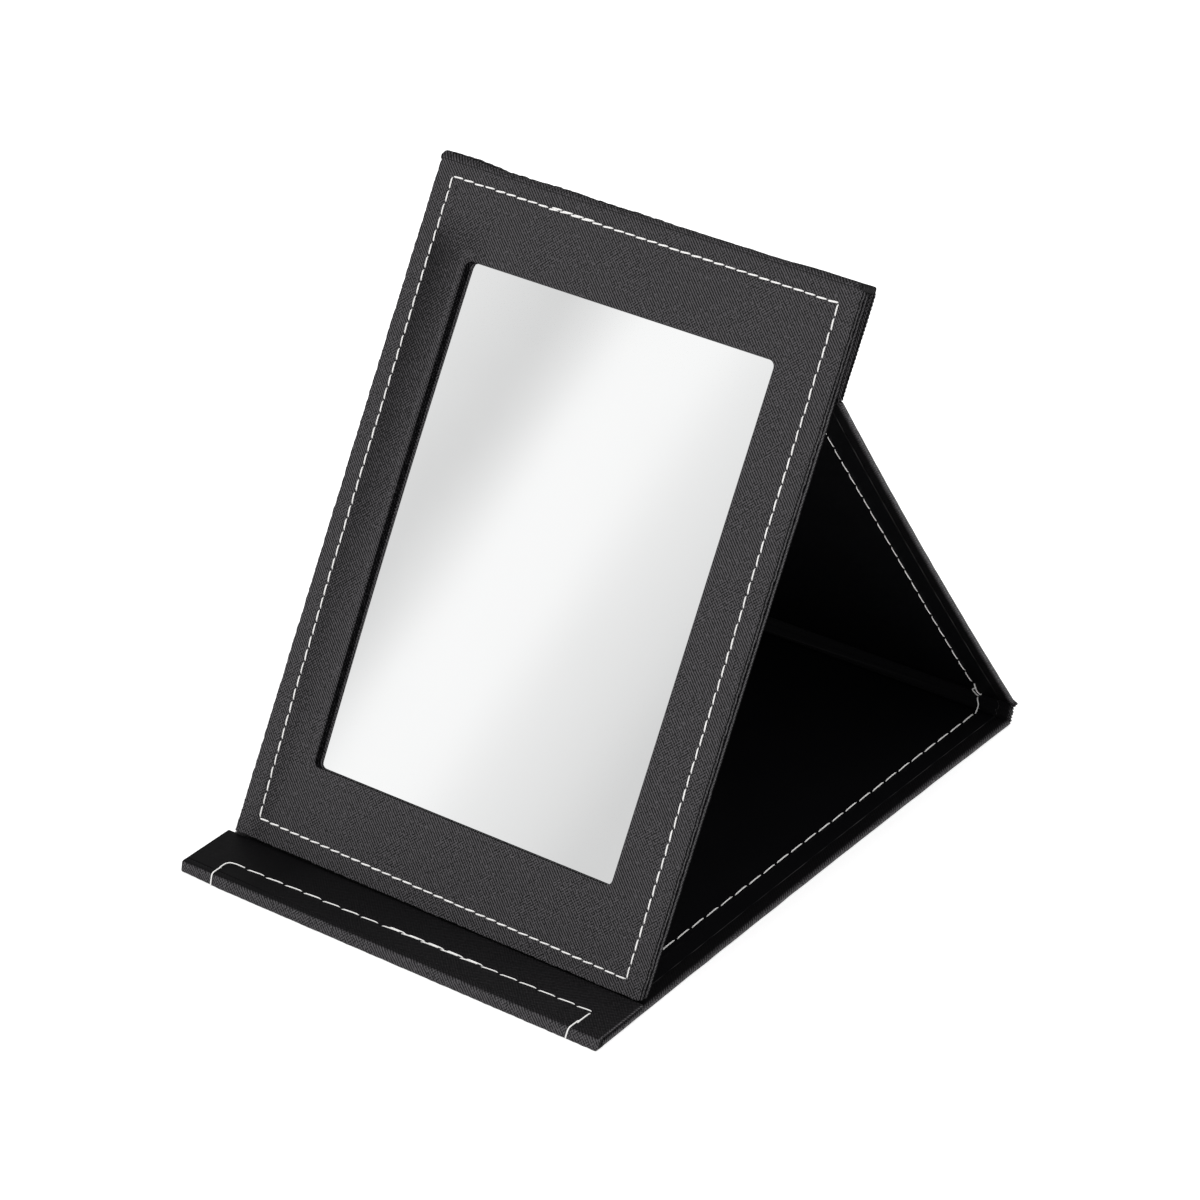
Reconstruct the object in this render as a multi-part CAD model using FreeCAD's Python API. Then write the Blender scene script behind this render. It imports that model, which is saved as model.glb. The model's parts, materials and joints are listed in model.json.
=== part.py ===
import FreeCAD
import Part
import math
import os

# Folding desk mirror: a framed mirror that stands in a cover of grained sheet over board.
# Millimetres. X runs across the mirror, Y from the front lip to the back, Z up.
# The cover is laid out flat, outside down, as it is sewn: flap, base, spine, strut and top
# panel one behind the other. The mirror lies face up on the strut. Each panel is then folded
# about its creases into the stand.

# Cover
cover_overhang = 1.7
base_margin = 5.8
skin_thickness = 0.35
board_thickness = 0.8
lining_thickness = 0.3
hem_width = 4.0
edge_round = 0.5
wrap_round_share = 0.8
crease_clearance = 0.3

# Mirror panel
window_width = 95.0
window_height = 137.0
window_round = 3.0
side_border = 17.5
window_rise = 23.5
frame_board_thickness = 1.4
glass_thickness = 1.2
tape_thickness = 0.15
rear_board_thickness = 0.6
bond_thickness = 0.3
frame_hem = 8.0
window_hem = 5.0
glass_overlap = 4.0
glass_clearance = 0.3
glass_chamfer = 0.2
tape_inset = 3.0
bond_inset = 4.0

# Stand
mirror_lean = 60.0
top_panel_height = 28.2
panel_gap = 0.4
spine_slack = 0.6
foot_clearance = 0.3
foot_to_flap = 0.45

# Flap at the front
flap_depth = 18.2
flap_gap = 0.25
fold_round = 1.0
fold_bore = 0.3

# Closing magnets in the flap and steel discs in the top panel
magnet_diameter = 8.0
keeper_diameter = 10.0
disc_clearance = 0.1
disc_spacing = 70.0
magnet_setback = 7.0

# Thread
thread_width = 0.55
thread_height = 0.2
thread_bevel = 0.15
seam_inset = 8.4
seam_pitch = 6.5
seam_dash_share = 0.93
seam_end_margin = 0.6
flap_seam_reach = 7.0
frame_seam_side_inset = 5.3
frame_seam_end_inset = 4.6
frame_seam_pitch = 3.3
frame_seam_dash_share = 0.78

# Sizes that follow
panel_width = window_width + 2 * side_border
panel_height = window_height + 2 * window_rise
cover_width = panel_width + 2 * cover_overhang
base_length = panel_height + base_margin
cover_thickness = skin_thickness + board_thickness + lining_thickness
front_thickness = frame_board_thickness + 2 * skin_thickness
panel_thickness = (front_thickness + glass_thickness + tape_thickness
                   + rear_board_thickness + skin_thickness)
lip_height = 2 * cover_thickness + flap_gap
spine_length = panel_thickness + spine_slack

# A crease rolls on the middle of the cover's thickness, and panels stop short of it
crease_radius = cover_thickness / 2
panel_setback = crease_radius + crease_clearance

# The flap folds about the middle of the lip, whose front face is at Y 0
flap_axis = lip_height / 2
fold_corner = flap_axis - fold_round
fold_sweep = fold_corner * math.sqrt(2) + fold_round
fold_reach = fold_sweep + crease_clearance

# The stand: the mirror leans at its angle on the foot, and the spine's two creases share the
# turn from base to strut evenly. With D from the base crease to the mirror crease, length
# reach and angle bearing, D = spine * e(turn) + strut * e(2 * turn). Across the strut that
# gives reach * sin(2 * turn - bearing) = spine * sin(turn), which settles in a few rounds.
lean = math.radians(mirror_lean)
crease_rise = panel_height - top_panel_height
crease_depth = panel_gap + crease_radius
foot_y = flap_depth + foot_to_flap + panel_thickness * math.sin(lean)
foot_z = cover_thickness + foot_clearance
mirror_axis_y = foot_y + crease_rise * math.cos(lean) + crease_depth * math.sin(lean)
mirror_axis_z = foot_z + crease_rise * math.sin(lean) - crease_depth * math.cos(lean)
reach = math.hypot(mirror_axis_y - base_length, mirror_axis_z - crease_radius)
bearing = math.atan2(mirror_axis_z - crease_radius, mirror_axis_y - base_length)
turn = bearing / 2
for _ in range(12):
    turn = (bearing + math.asin(spine_length * math.sin(turn) / reach)) / 2
strut_length = reach * math.cos(2 * turn - bearing) - spine_length * math.cos(turn)
spine_turn = math.degrees(turn)
mirror_turn = 2 * spine_turn - mirror_lean
strut_axis_y = base_length + spine_length * math.cos(turn)
strut_axis_z = crease_radius + spine_length * math.sin(turn)

# Places along the flat layout
flat_strut_axis = base_length + spine_length
flat_mirror_axis = flat_strut_axis + strut_length
flat_foot = flat_mirror_axis - crease_rise
flat_top = flat_foot + panel_height
flat_layers_end = flat_top - skin_thickness
flat_flap_end = 2 * flap_axis - flap_depth
rear_z = cover_thickness + panel_gap
face_z = rear_z + panel_thickness
front_back_z = face_z - front_thickness
window_y = flat_foot + panel_height / 2
seam_x = cover_width / 2 - seam_inset
centre_y = (strut_axis_y + crease_radius) / 2


def box(half_width, y0, y1, z0, z1):
    """Block centred across X, from y0 to y1 and z0 to z1."""
    corner = FreeCAD.Vector(-half_width, y0, z0)
    return Part.makeBox(2 * half_width, y1 - y0, z1 - z0, corner)


def is_along(edge, axis):
    """True where a straight edge runs along the axis."""
    span = edge.Vertexes[-1].Point - edge.Vertexes[0].Point
    return abs(abs(span.dot(axis)) - span.Length) < 1e-6


def edges_at(solid, axis, test):
    """Edges along an axis whose middle passes the test."""
    return [edge for edge in solid.Edges if is_along(edge, axis) and test(edge.CenterOfMass)]


AXIS_X = FreeCAD.Vector(1, 0, 0)
AXIS_Y = FreeCAD.Vector(0, 1, 0)
AXIS_Z = FreeCAD.Vector(0, 0, 1)


def window_prism(grow, z0, z1):
    """The window's rounded outline, grown by a margin all round, from z0 to z1."""
    y0 = window_y - window_height / 2 - grow
    y1 = window_y + window_height / 2 + grow
    prism = box(window_width / 2 + grow, y0, y1, z0, z1)
    return prism.makeFillet(window_round + grow, edges_at(prism, AXIS_Z, lambda point: True))


def glass_block(grow, z0, z1):
    """The glass's outline, grown by a margin all round, from z0 to z1."""
    margin = glass_overlap + grow
    y0 = window_y - window_height / 2 - margin
    y1 = window_y + window_height / 2 + margin
    return box(window_width / 2 + margin, y0, y1, z0, z1)


def cover_panel(y0, y1, closed_low=False, closed_high=False):
    """Skin, board and lining of one cover panel, outside down, from y0 to y1.

    The skin wraps both sides, and each closed end, and is turned in over the inner face as
    a hem. The board lies inside it and the lining fills the face between the hems.
    """
    half = cover_width / 2
    block = box(half, y0, y1, 0, cover_thickness)
    skin = block.makeFillet(edge_round, edges_at(block, AXIS_Y, lambda point: True))
    board_low = y0 + skin_thickness * closed_low
    board_high = y1 - skin_thickness * closed_high
    board_top = skin_thickness + board_thickness
    board = box(half - skin_thickness, board_low, board_high, skin_thickness, board_top)
    lining_low = y0 + hem_width * closed_low
    lining_high = y1 - hem_width * closed_high
    lining = box(half - hem_width, lining_low, lining_high, board_top, cover_thickness)
    return skin.cut(board).cut(lining), board, lining


def crease(y):
    """Rolled crease across the cover, on the middle of its thickness."""
    width = cover_width - 2 * edge_round
    start = FreeCAD.Vector(-width / 2, y, crease_radius)
    return Part.makeCylinder(crease_radius, width, start, AXIS_X)


def discs(diameter, y):
    """Pair of discs as thick as the board, side by side at y."""
    places = [FreeCAD.Vector(side * disc_spacing / 2, y, skin_thickness) for side in (-1, 1)]
    return [Part.makeCylinder(diameter / 2, board_thickness, place) for place in places]


def dash(length):
    """One stitch along X: a block with bevelled sides that stands on Z 0."""
    end = length / 2
    side = thread_width / 2
    top_end = end - thread_bevel
    top_side = side - thread_bevel
    stitch = Part.makeWedge(-end, 0, -side, -top_side, -top_end,
                            end, thread_height, side, top_side, top_end)
    stitch.rotate(FreeCAD.Vector(), AXIS_X, 90)
    return stitch


def seam(points, z, facing, pitch, share):
    """Stitches along straight runs through points on a face at z, facing up or down."""
    stitches = []
    for (x0, y0), (x1, y1) in zip(points, points[1:]):
        run = math.hypot(x1 - x0, y1 - y0)
        heading = math.degrees(math.atan2(y1 - y0, x1 - x0))
        count = max(1, round(run / pitch))
        for index in range(count):
            along = (index + 0.5) / count
            stitch = dash(share * run / count)
            if facing < 0:
                stitch.rotate(FreeCAD.Vector(), AXIS_X, 180)
            stitch.rotate(FreeCAD.Vector(), AXIS_Z, heading)
            stitch.translate(FreeCAD.Vector(x0 + along * (x1 - x0), y0 + along * (y1 - y0), z))
            stitches.append(stitch)
    return stitches


def side_seams(y0, y1, z, facing):
    """The two seams that run along the sides of the cover, from y0 to y1."""
    rows = [[(side * seam_x, y0), (side * seam_x, y1)] for side in (-1, 1)]
    return [stitch for row in rows
            for stitch in seam(row, z, facing, seam_pitch, seam_dash_share)]


def base_nodes():
    """Base panel, open at the front for the flap's roll, with its crease behind."""
    front = FreeCAD.Vector(-cover_width / 2, flap_axis, flap_axis)
    room = Part.makeCylinder(fold_reach, cover_width, front, AXIS_X)
    skin, board, lining = cover_panel(flap_axis, base_length - panel_setback)
    seam_start = foot_y + foot_to_flap + thread_width
    seam_end = base_length - panel_setback - seam_end_margin
    return {
        "base_skin": skin.cut(room),
        "base_board": board.cut(room),
        "base_lining": lining.cut(room),
        "base_stitching": side_seams(seam_start, seam_end, cover_thickness, 1),
        "base_crease": crease(base_length),
    }


def spine_nodes():
    """Narrow panel between two creases, as wide as the folded mirror is thick."""
    y0 = base_length + panel_setback
    y1 = flat_strut_axis - panel_setback
    skin, board, lining = cover_panel(y0, y1)
    stitches = side_seams(y0, y1, cover_thickness, 1) + side_seams(y0, y1, 0, -1)
    return {
        "spine_skin": skin,
        "spine_board": board,
        "spine_lining": lining,
        "spine_stitching": stitches,
        "strut_crease": crease(flat_strut_axis),
    }


def strut_nodes():
    """Back half of the cover, which props the mirror up."""
    y0 = flat_strut_axis + panel_setback
    y1 = flat_mirror_axis - panel_setback
    skin, board, lining = cover_panel(y0, y1)
    seam_ends = (y0 + seam_end_margin, y1 - seam_end_margin)
    stitches = side_seams(*seam_ends, cover_thickness, 1) + side_seams(*seam_ends, 0, -1)
    return {
        "strut_skin": skin,
        "strut_board": board,
        "strut_lining": lining,
        "strut_stitching": stitches,
        "mirror_crease": crease(flat_mirror_axis),
    }


def front_frame_nodes():
    """Front frame: card with a window, in a skin turned in round its edges and the window."""
    half = panel_width / 2
    block = box(half, flat_foot, flat_layers_end, front_back_z, face_z)
    sides = edges_at(block, AXIS_Y, lambda point: True)
    foot = edges_at(block, AXIS_X, lambda point: point.y < window_y)
    window = window_prism(0, front_back_z, face_z)
    skin = block.makeFillet(edge_round, sides + foot).cut(window)
    rim = [edge for edge in skin.Edges if edge.BoundBox.ZMin > face_z - edge_round / 2
           and abs(edge.CenterOfMass.x) < window_width / 2 + edge_round
           and abs(edge.CenterOfMass.y - window_y) < window_height / 2 + edge_round]
    skin = skin.makeFillet(edge_round, rim)
    board = box(half - skin_thickness, flat_foot + skin_thickness, flat_layers_end,
                front_back_z + skin_thickness, face_z - skin_thickness)
    board = board.cut(window_prism(skin_thickness, front_back_z, face_z))
    open_back = box(half - frame_hem, flat_foot + frame_hem, flat_layers_end,
                    front_back_z, front_back_z + skin_thickness)
    open_back = open_back.cut(window_prism(window_hem, front_back_z, face_z))
    skin = skin.cut(board).cut(open_back)
    bond = box(half - bond_inset, flat_foot + bond_inset, flat_layers_end,
               front_back_z - bond_thickness, front_back_z)
    pocket = glass_block(glass_clearance, front_back_z - bond_thickness, front_back_z)
    bond = bond.cut(pocket).fuse(open_back)
    seam_half = half - frame_seam_side_inset
    seam_low = flat_foot + frame_seam_end_inset
    seam_high = flat_top - frame_seam_end_inset
    corners = [(-seam_half, seam_low), (seam_half, seam_low), (seam_half, seam_high),
               (-seam_half, seam_high), (-seam_half, seam_low)]
    return {
        "frame_skin": skin,
        "frame_board": board,
        "frame_bond": bond,
        "frame_stitching": seam(corners, face_z, 1, frame_seam_pitch, frame_seam_dash_share),
    }


def rear_panel_nodes():
    """Mirror glass in its card pocket, with the card and smooth skin behind it."""
    half = panel_width / 2
    glass_back = front_back_z - glass_thickness
    card_front = glass_back - tape_thickness
    spacer_front = front_back_z - bond_thickness
    glass = glass_block(0, glass_back, front_back_z)
    glass = glass.makeChamfer(glass_chamfer, glass.Edges)
    inside = box(half - skin_thickness, flat_foot + skin_thickness, flat_layers_end,
                 rear_z + skin_thickness, spacer_front)
    spacer = inside.common(box(half, flat_foot, flat_top, card_front, spacer_front))
    spacer = spacer.cut(glass_block(glass_clearance, card_front, spacer_front))
    block = box(half, flat_foot, flat_layers_end, rear_z, spacer_front)
    back_sides = edges_at(block, AXIS_Y, lambda point: point.z < card_front)
    back_foot = edges_at(block, AXIS_X, lambda point: point.z < card_front and point.y < window_y)
    return {
        "mirror_glass": glass,
        "glass_tape": glass_block(-tape_inset, card_front, glass_back),
        "spacer_board": spacer,
        "rear_board": inside.common(box(half, flat_foot, flat_top, rear_z, card_front)),
        "rear_skin": block.makeFillet(edge_round, back_sides + back_foot).cut(inside),
    }


def top_panel_nodes():
    """Top panel bonded to the mirror's back, in a skin that goes over the top edge."""
    start = flat_mirror_axis + panel_setback
    skin, board, lining = cover_panel(start, flat_top, closed_high=True)
    wrap = box(panel_width / 2, flat_layers_end, flat_top, cover_thickness, face_z)
    wrap_y = flat_top - skin_thickness / 2
    rim = edges_at(wrap, AXIS_X, lambda point: point.z > front_back_z and point.y > wrap_y)
    wrap = wrap.makeFillet(min(edge_round, wrap_round_share * skin_thickness), rim)
    keeper_y = flat_top - (flap_depth - magnet_setback)
    keepers = discs(keeper_diameter, keeper_y)
    for seat in discs(keeper_diameter + 2 * disc_clearance, keeper_y):
        board = board.cut(seat)
    seam_low = start + seam_end_margin
    seam_high = flat_top - seam_inset
    corners = [(-seam_x, seam_low), (-seam_x, seam_high), (seam_x, seam_high), (seam_x, seam_low)]
    return {
        "back_top_skin": skin.fuse(wrap),
        "back_top_board": board,
        "back_top_lining": lining,
        "back_top_stitching": seam(corners, 0, -1, seam_pitch, seam_dash_share),
        "closing_keepers": keepers,
        "panel_bond": box(panel_width / 2 - bond_inset, start + bond_inset, flat_layers_end,
                          cover_thickness, rear_z),
    }


def flap_roll():
    """The rolled front fold: flat front, rounded edges and a slot that ends in a round bore.

    Its tail below the slot ends on a circle about the fold's axis, so that it turns inside
    the matching hollow of the base.
    """
    gap = flap_gap / 2
    bore_y = math.sqrt(fold_bore ** 2 - gap ** 2)
    tail_low = math.sqrt(fold_sweep ** 2 - flap_axis ** 2)
    tail_high = math.sqrt(fold_sweep ** 2 - gap ** 2)
    tail_angle = (math.atan2(-flap_axis, tail_low) + math.atan2(-gap, tail_high)) / 2
    bulge = fold_corner + fold_round * math.sqrt(0.5)

    def place(y, z):
        return FreeCAD.Vector(-cover_width / 2, flap_axis + y, flap_axis + z)

    def line(start, end):
        return Part.LineSegment(place(*start), place(*end)).toShape()

    def arc(start, middle, end):
        return Part.Arc(place(*start), place(*middle), place(*end)).toShape()

    tail_middle = (fold_sweep * math.cos(tail_angle), fold_sweep * math.sin(tail_angle))
    outline = Part.Wire([
        line((fold_reach, flap_axis), (-fold_corner, flap_axis)),
        arc((-fold_corner, flap_axis), (-bulge, bulge), (-flap_axis, fold_corner)),
        line((-flap_axis, fold_corner), (-flap_axis, -fold_corner)),
        arc((-flap_axis, -fold_corner), (-bulge, -bulge), (-fold_corner, -flap_axis)),
        line((-fold_corner, -flap_axis), (tail_low, -flap_axis)),
        arc((tail_low, -flap_axis), tail_middle, (tail_high, -gap)),
        line((tail_high, -gap), (bore_y, -gap)),
        arc((bore_y, -gap), (-fold_bore, 0), (bore_y, gap)),
        line((bore_y, gap), (fold_reach, gap)),
        line((fold_reach, gap), (fold_reach, flap_axis)),
    ])
    return Part.Face(outline).extrude(FreeCAD.Vector(cover_width, 0, 0))


def flap_nodes():
    """Flap laid out flat in front of the base; its roll is already in the folded place."""
    start = flap_axis - fold_reach
    skin, board, lining = cover_panel(flat_flap_end, start, closed_low=True)
    magnet_y = flat_flap_end + magnet_setback
    magnets = discs(magnet_diameter, magnet_y)
    for seat in discs(magnet_diameter + 2 * disc_clearance, magnet_y):
        board = board.cut(seat)
    leg_start = flap_axis + fold_corner
    leg_end = 2 * flap_axis - flap_seam_reach
    corners = [(-seam_x, leg_start), (-seam_x, leg_end), (seam_x, leg_end), (seam_x, leg_start)]
    return {
        "flap_skin": skin,
        "flap_board": board,
        "flap_lining": lining,
        "flap_stitching": seam(corners, 0, -1, seam_pitch, seam_dash_share),
        "flap_magnets": magnets,
    }


def turned(shape, y, z, degrees):
    """Copy of a shape, turned about a line across the cover."""
    result = shape.copy()
    result.rotate(FreeCAD.Vector(0, y, z), AXIS_X, degrees)
    return result


def stay(shape):
    return shape


def fold_spine(shape):
    return turned(shape, base_length, crease_radius, spine_turn)


def fold_strut(shape):
    return fold_spine(turned(shape, flat_strut_axis, crease_radius, spine_turn))


def fold_mirror(shape):
    return fold_strut(turned(shape, flat_mirror_axis, crease_radius, -mirror_turn))


def fold_flap(shape):
    return turned(shape, flap_axis, flap_axis, 180)


def write(nodes, fold):
    """Fold each node into the stand, centre it on the origin and write it."""
    for name, made in nodes.items():
        shape = fold(Part.makeCompound(made) if isinstance(made, list) else made)
        shape.translate(FreeCAD.Vector(0, -centre_y, 0))
        shape.exportStep(f"parts/{name}.step")


os.makedirs("parts", exist_ok=True)
write(base_nodes(), stay)
write(spine_nodes(), fold_spine)
write(strut_nodes(), fold_strut)
write(front_frame_nodes(), fold_mirror)
write(rear_panel_nodes(), fold_mirror)
write(top_panel_nodes(), fold_mirror)
write(flap_nodes(), fold_flap)
write({"flap_roll": flap_roll()}, stay)

print("base crease axis", round(base_length - centre_y, 4), round(crease_radius, 4))
print("strut crease axis", round(strut_axis_y - centre_y, 4), round(strut_axis_z, 4))
print("mirror crease axis", round(mirror_axis_y - centre_y, 4), round(mirror_axis_z, 4))
print("flap axis", round(flap_axis - centre_y, 4), round(flap_axis, 4))
print("turn of each spine crease", round(spine_turn, 5), "of the mirror", round(mirror_turn, 5))
print("strut length", round(strut_length, 3), "centre", round(centre_y, 4))
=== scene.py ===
# %% [markdown]
# # A folding desk mirror
# The real object is a mirror in a card frame, held in a cover of black grained sheet over
# board. The cover folds like a book: its front half is the base, its back half props the
# mirror, and a flap at the front stops the mirror's foot. White thread runs along every edge.
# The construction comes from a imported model. This lesson gives it its surfaces.

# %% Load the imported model
import json
import math
import bpy
import numpy as np
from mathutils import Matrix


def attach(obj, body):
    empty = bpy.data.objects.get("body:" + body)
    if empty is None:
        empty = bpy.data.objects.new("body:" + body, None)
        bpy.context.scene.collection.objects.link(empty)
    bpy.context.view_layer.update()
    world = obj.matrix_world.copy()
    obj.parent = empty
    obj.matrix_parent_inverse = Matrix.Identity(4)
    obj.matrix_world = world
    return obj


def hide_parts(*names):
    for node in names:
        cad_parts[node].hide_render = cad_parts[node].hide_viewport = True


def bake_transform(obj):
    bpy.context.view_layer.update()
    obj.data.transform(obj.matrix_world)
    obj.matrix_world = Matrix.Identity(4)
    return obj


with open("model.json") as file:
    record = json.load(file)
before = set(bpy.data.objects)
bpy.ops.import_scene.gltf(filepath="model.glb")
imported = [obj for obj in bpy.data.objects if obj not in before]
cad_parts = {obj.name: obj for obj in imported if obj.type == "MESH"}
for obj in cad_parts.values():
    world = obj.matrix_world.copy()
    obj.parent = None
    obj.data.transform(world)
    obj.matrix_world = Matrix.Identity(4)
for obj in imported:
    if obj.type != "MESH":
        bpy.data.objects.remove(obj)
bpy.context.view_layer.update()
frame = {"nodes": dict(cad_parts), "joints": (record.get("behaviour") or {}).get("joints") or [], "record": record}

MM = 0.001

# %% [markdown]
# ## The camera
# The picture is taken from the front right, well above the table, with a long lens, so that
# upright edges hardly converge. The angles and the distance came from matching the corners of
# the frame. A camera without shift keeps other views honest.

# %% Camera
camera_azimuth = math.radians(36.44)
camera_elevation = math.radians(30.03)
camera_place = (0.62222, -0.84745, 0.66730)
photo_size = 1200
focal_pixels = 4660.8
sensor = 36.0
camera_data = bpy.data.cameras.new("photo_camera")
camera_data.sensor_width = sensor
camera_data.lens = focal_pixels / photo_size * sensor
camera = bpy.data.objects.new("photo_camera", camera_data)
camera.location = camera_place
camera.rotation_euler = (math.pi / 2 - camera_elevation, 0, camera_azimuth)
bpy.context.scene.collection.objects.link(camera)
bpy.context.scene.camera = camera
print("lens", round(camera_data.lens, 1), "mm")

# %% [markdown]
# ## The cover laid out flat
# A cover like this is cut and sewn flat, so every surface is easiest to describe flat: X runs
# across, Y along the cover, Z up from its outside. Folding is then a turn about each crease.
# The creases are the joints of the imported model, and its stand pose is the flat layout with
# every crease turned. Working flat and folding last keeps each formula short.

# %% Creases
joints = {joint["name"]: joint for joint in frame["joints"]}
behaviour = frame["record"]["behaviour"]
ratios = {link["joint"]: link["ratio"] for link in behaviour["couplings"]}
body_of_node = {node: body for body, nodes in behaviour["bodies"].items() for node in nodes}


def crease_place(name):
    """Where a crease crosses the plane of Y and Z, in millimetres."""
    return np.array(joints[name]["pos_m"][1:]) / MM


base_crease = crease_place("base_fold")
strut_crease = crease_place("strut_fold")
mirror_crease = crease_place("mirror_fold")
flap_crease = crease_place("flap_fold")
spine_turn = math.radians(joints["base_fold"]["range_deg"][1])
mirror_turn = ratios["mirror_fold"] * spine_turn
flat_strut_crease = base_crease + (np.linalg.norm(strut_crease - base_crease), 0)
flat_mirror_crease = flat_strut_crease + (np.linalg.norm(mirror_crease - strut_crease), 0)
print("creases at", base_crease[0].round(1), flat_strut_crease[0].round(1), flat_mirror_crease[0].round(1))


# %% Folding
def turn(points, centre, angle):
    """Turn points about a line along X: (y, z) swings round the centre by the angle."""
    y = points[..., 1] - centre[0]
    z = points[..., 2] - centre[1]
    turned = points.copy()
    turned[..., 1] = centre[0] + y * np.cos(angle) - z * np.sin(angle)
    turned[..., 2] = centre[1] + y * np.sin(angle) + z * np.cos(angle)
    return turned


folds = {
    "base": [],
    "spine": [(base_crease, spine_turn)],
    "strut": [(flat_strut_crease, spine_turn), (base_crease, spine_turn)],
    "mirror": [(flat_mirror_crease, -mirror_turn), (flat_strut_crease, spine_turn),
               (base_crease, spine_turn)],
    "flap": [(flap_crease, math.pi)],
}


def fold(points, body):
    """Carry points from the flat layout to the stand: the outermost crease turns first."""
    for centre, angle in folds[body]:
        points = turn(points, centre, angle)
    return points


def unfold(points, body):
    """The way back from the stand to the flat layout."""
    for centre, angle in reversed(folds[body]):
        points = turn(points, centre, -angle)
    return points


def flat_box(node):
    """Lowest and highest corner of a node in the flat layout, in millimetres."""
    mesh = frame["nodes"][node].data
    flat = np.empty(len(mesh.vertices) * 3)
    mesh.vertices.foreach_get("co", flat)
    flat = unfold(flat.reshape(-1, 3) / MM, body_of_node[node])
    return flat.min(axis=0), flat.max(axis=0)


cover_half, _, cover_thickness = flat_box("strut_skin")[1]
frame_low, frame_high = flat_box("frame_skin")
panel_half = frame_high[0]
face_z = frame_high[2]
front_thickness = face_z - frame_low[2]
top_y = flat_box("back_top_skin")[1][1]
print("cover", round(2 * cover_half, 1), "wide,", round(cover_thickness, 2), "thick; panel",
      round(2 * panel_half, 1), "by", round(top_y - frame_low[1], 1))

# %% [markdown]
# ## Grids into meshes
# Every new piece here is a grid: rows along a path, columns round a profile. One helper makes
# the faces, another the object. Two attributes travel with the points: `sheet`, the place on
# the flat sheet in millimetres, which the grain follows round edges, and one for the grain,
# from smooth sheet at 0 to crosshatched sheet at 1, which above 1 paints a highlight and below
# 0 paints shade. The last helpers hang a piece on one body, or leave a piece that bends
# between two bodies where it lies, and hide the nodes that a piece stands for.

# %% Faces of a grid
def grid_faces(rows, columns, ring=False):
    """Four-sided faces of a grid closed round its columns, and for a ring round its rows too."""
    row, column = np.meshgrid(np.arange(rows if ring else rows - 1), np.arange(columns), indexing="ij")
    row, column = row.ravel(), column.ravel()
    beside = (column + 1) % columns
    behind = (row + 1) % rows
    return np.stack([row * columns + column, row * columns + beside,
                     behind * columns + beside, behind * columns + column], axis=1)


def end_caps(rows, columns):
    """The first row, backwards, and the last row, as two flat faces."""
    return [np.arange(columns)[::-1], np.arange((rows - 1) * columns, rows * columns)]


def signed_volume(points, faces):
    """Sum over faces of the corner's triple product: positive where faces point outwards."""
    corner = points[faces]
    first = np.einsum("ij,ij->i", corner[:, 0], np.cross(corner[:, 1], corner[:, 2]))
    second = np.einsum("ij,ij->i", corner[:, 0], np.cross(corner[:, 2], corner[:, 3]))
    return (first + second).sum() / 6


# %% Objects from grids
def new_piece(name, points, faces, finish, caps=(), sheet=None, grain_and_painted_light=None):
    """Object at the origin from points in millimetres, with its faces turned outwards."""
    points = points.reshape(-1, 3)
    if signed_volume(points - points.mean(axis=0), faces) < 0:
        faces = faces[:, ::-1]
        caps = [cap[::-1] for cap in caps]
    mesh = bpy.data.meshes.new(name)
    mesh.from_pydata((points * MM).tolist(), [], faces.tolist() + [list(cap) for cap in caps])
    smooth = np.ones(len(mesh.polygons), bool)
    smooth[len(faces):] = False
    mesh.polygons.foreach_set("use_smooth", smooth)
    if sheet is not None:
        mesh.attributes.new("sheet", "FLOAT_VECTOR", "POINT").data.foreach_set(
            "vector", sheet.astype(np.float32).ravel())
    # The grain attribute also carries painted light: above 1 painted highlight, below 0 painted shade.
    if grain_and_painted_light is not None:
        mesh.attributes.new("grain_and_painted_light", "FLOAT", "POINT").data.foreach_set(
            "value", grain_and_painted_light.astype(np.float32).ravel())
    mesh.materials.append(finish)
    piece = bpy.data.objects.new(name, mesh)
    bpy.context.scene.collection.objects.link(piece)
    print(name, len(points), "points,", len(faces) + len(caps), "faces")
    return piece


def grid_piece(name, points, finish, sheet=None, grain_and_painted_light=0.0, ring=False):
    """Piece from a grid of points: a tube with flat ends, or a closed ring."""
    rows, columns = points.shape[:2]
    caps = () if ring else end_caps(rows, columns)
    grain_and_painted_light = np.broadcast_to(grain_and_painted_light, (rows, columns))
    return new_piece(name, points, grid_faces(rows, columns, ring), finish, caps, sheet, grain_and_painted_light)


# %% What carries a piece
def label(replaced):
    """Hide the nodes that a piece stands for."""
    if replaced:
        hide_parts(*replaced)


def carry(piece, body, slot, *replaced):
    """One body carries the piece."""
    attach(piece, body)
    label(replaced)


def bend_between(piece, bodies, ends, slot, *replaced):
    """Bake the piece where it lies and hide the nodes that it stands for."""
    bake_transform(piece)
    label(replaced)


# %% Number helpers
def ripple(u, v, wave, seed, waves=6):
    """Smooth unevenness between about -1 and 1: a few crossed sine waves of seeded phase."""
    draw = np.random.default_rng(seed)
    heading = draw.uniform(0, 2 * np.pi, waves)
    phase = draw.uniform(0, 2 * np.pi, waves)
    length = wave * draw.uniform(0.7, 1.6, waves)
    total = 0
    for angle, start, step in zip(heading, phase, length):
        total = total + np.sin((u * np.cos(angle) + v * np.sin(angle)) * 2 * np.pi / step + start)
    return total / (waves / 2)


def ramp(value, low, high):
    """Smooth step from 0 at low to 1 at high."""
    share = np.clip((value - low) / (high - low), 0, 1)
    return share * share * (3 - 2 * share)


def hump(value, centre, width):
    """Bell curve: 1 at the centre, falling off over the width."""
    return np.exp(-((value - centre) / width) ** 2)


def run_length(path):
    """Distance along a path of points from its first point."""
    return np.append(0, np.linalg.norm(np.diff(path, axis=0), axis=-1).cumsum())


def axes_of(points):
    """Views of the x, y and z of points: a change to one of them changes the points."""
    return np.moveaxis(points, -1, 0)


def stacked(*parts):
    """Points or vectors from their parts, each a number or an array."""
    return np.stack(np.broadcast_arrays(*parts), axis=-1)
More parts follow.
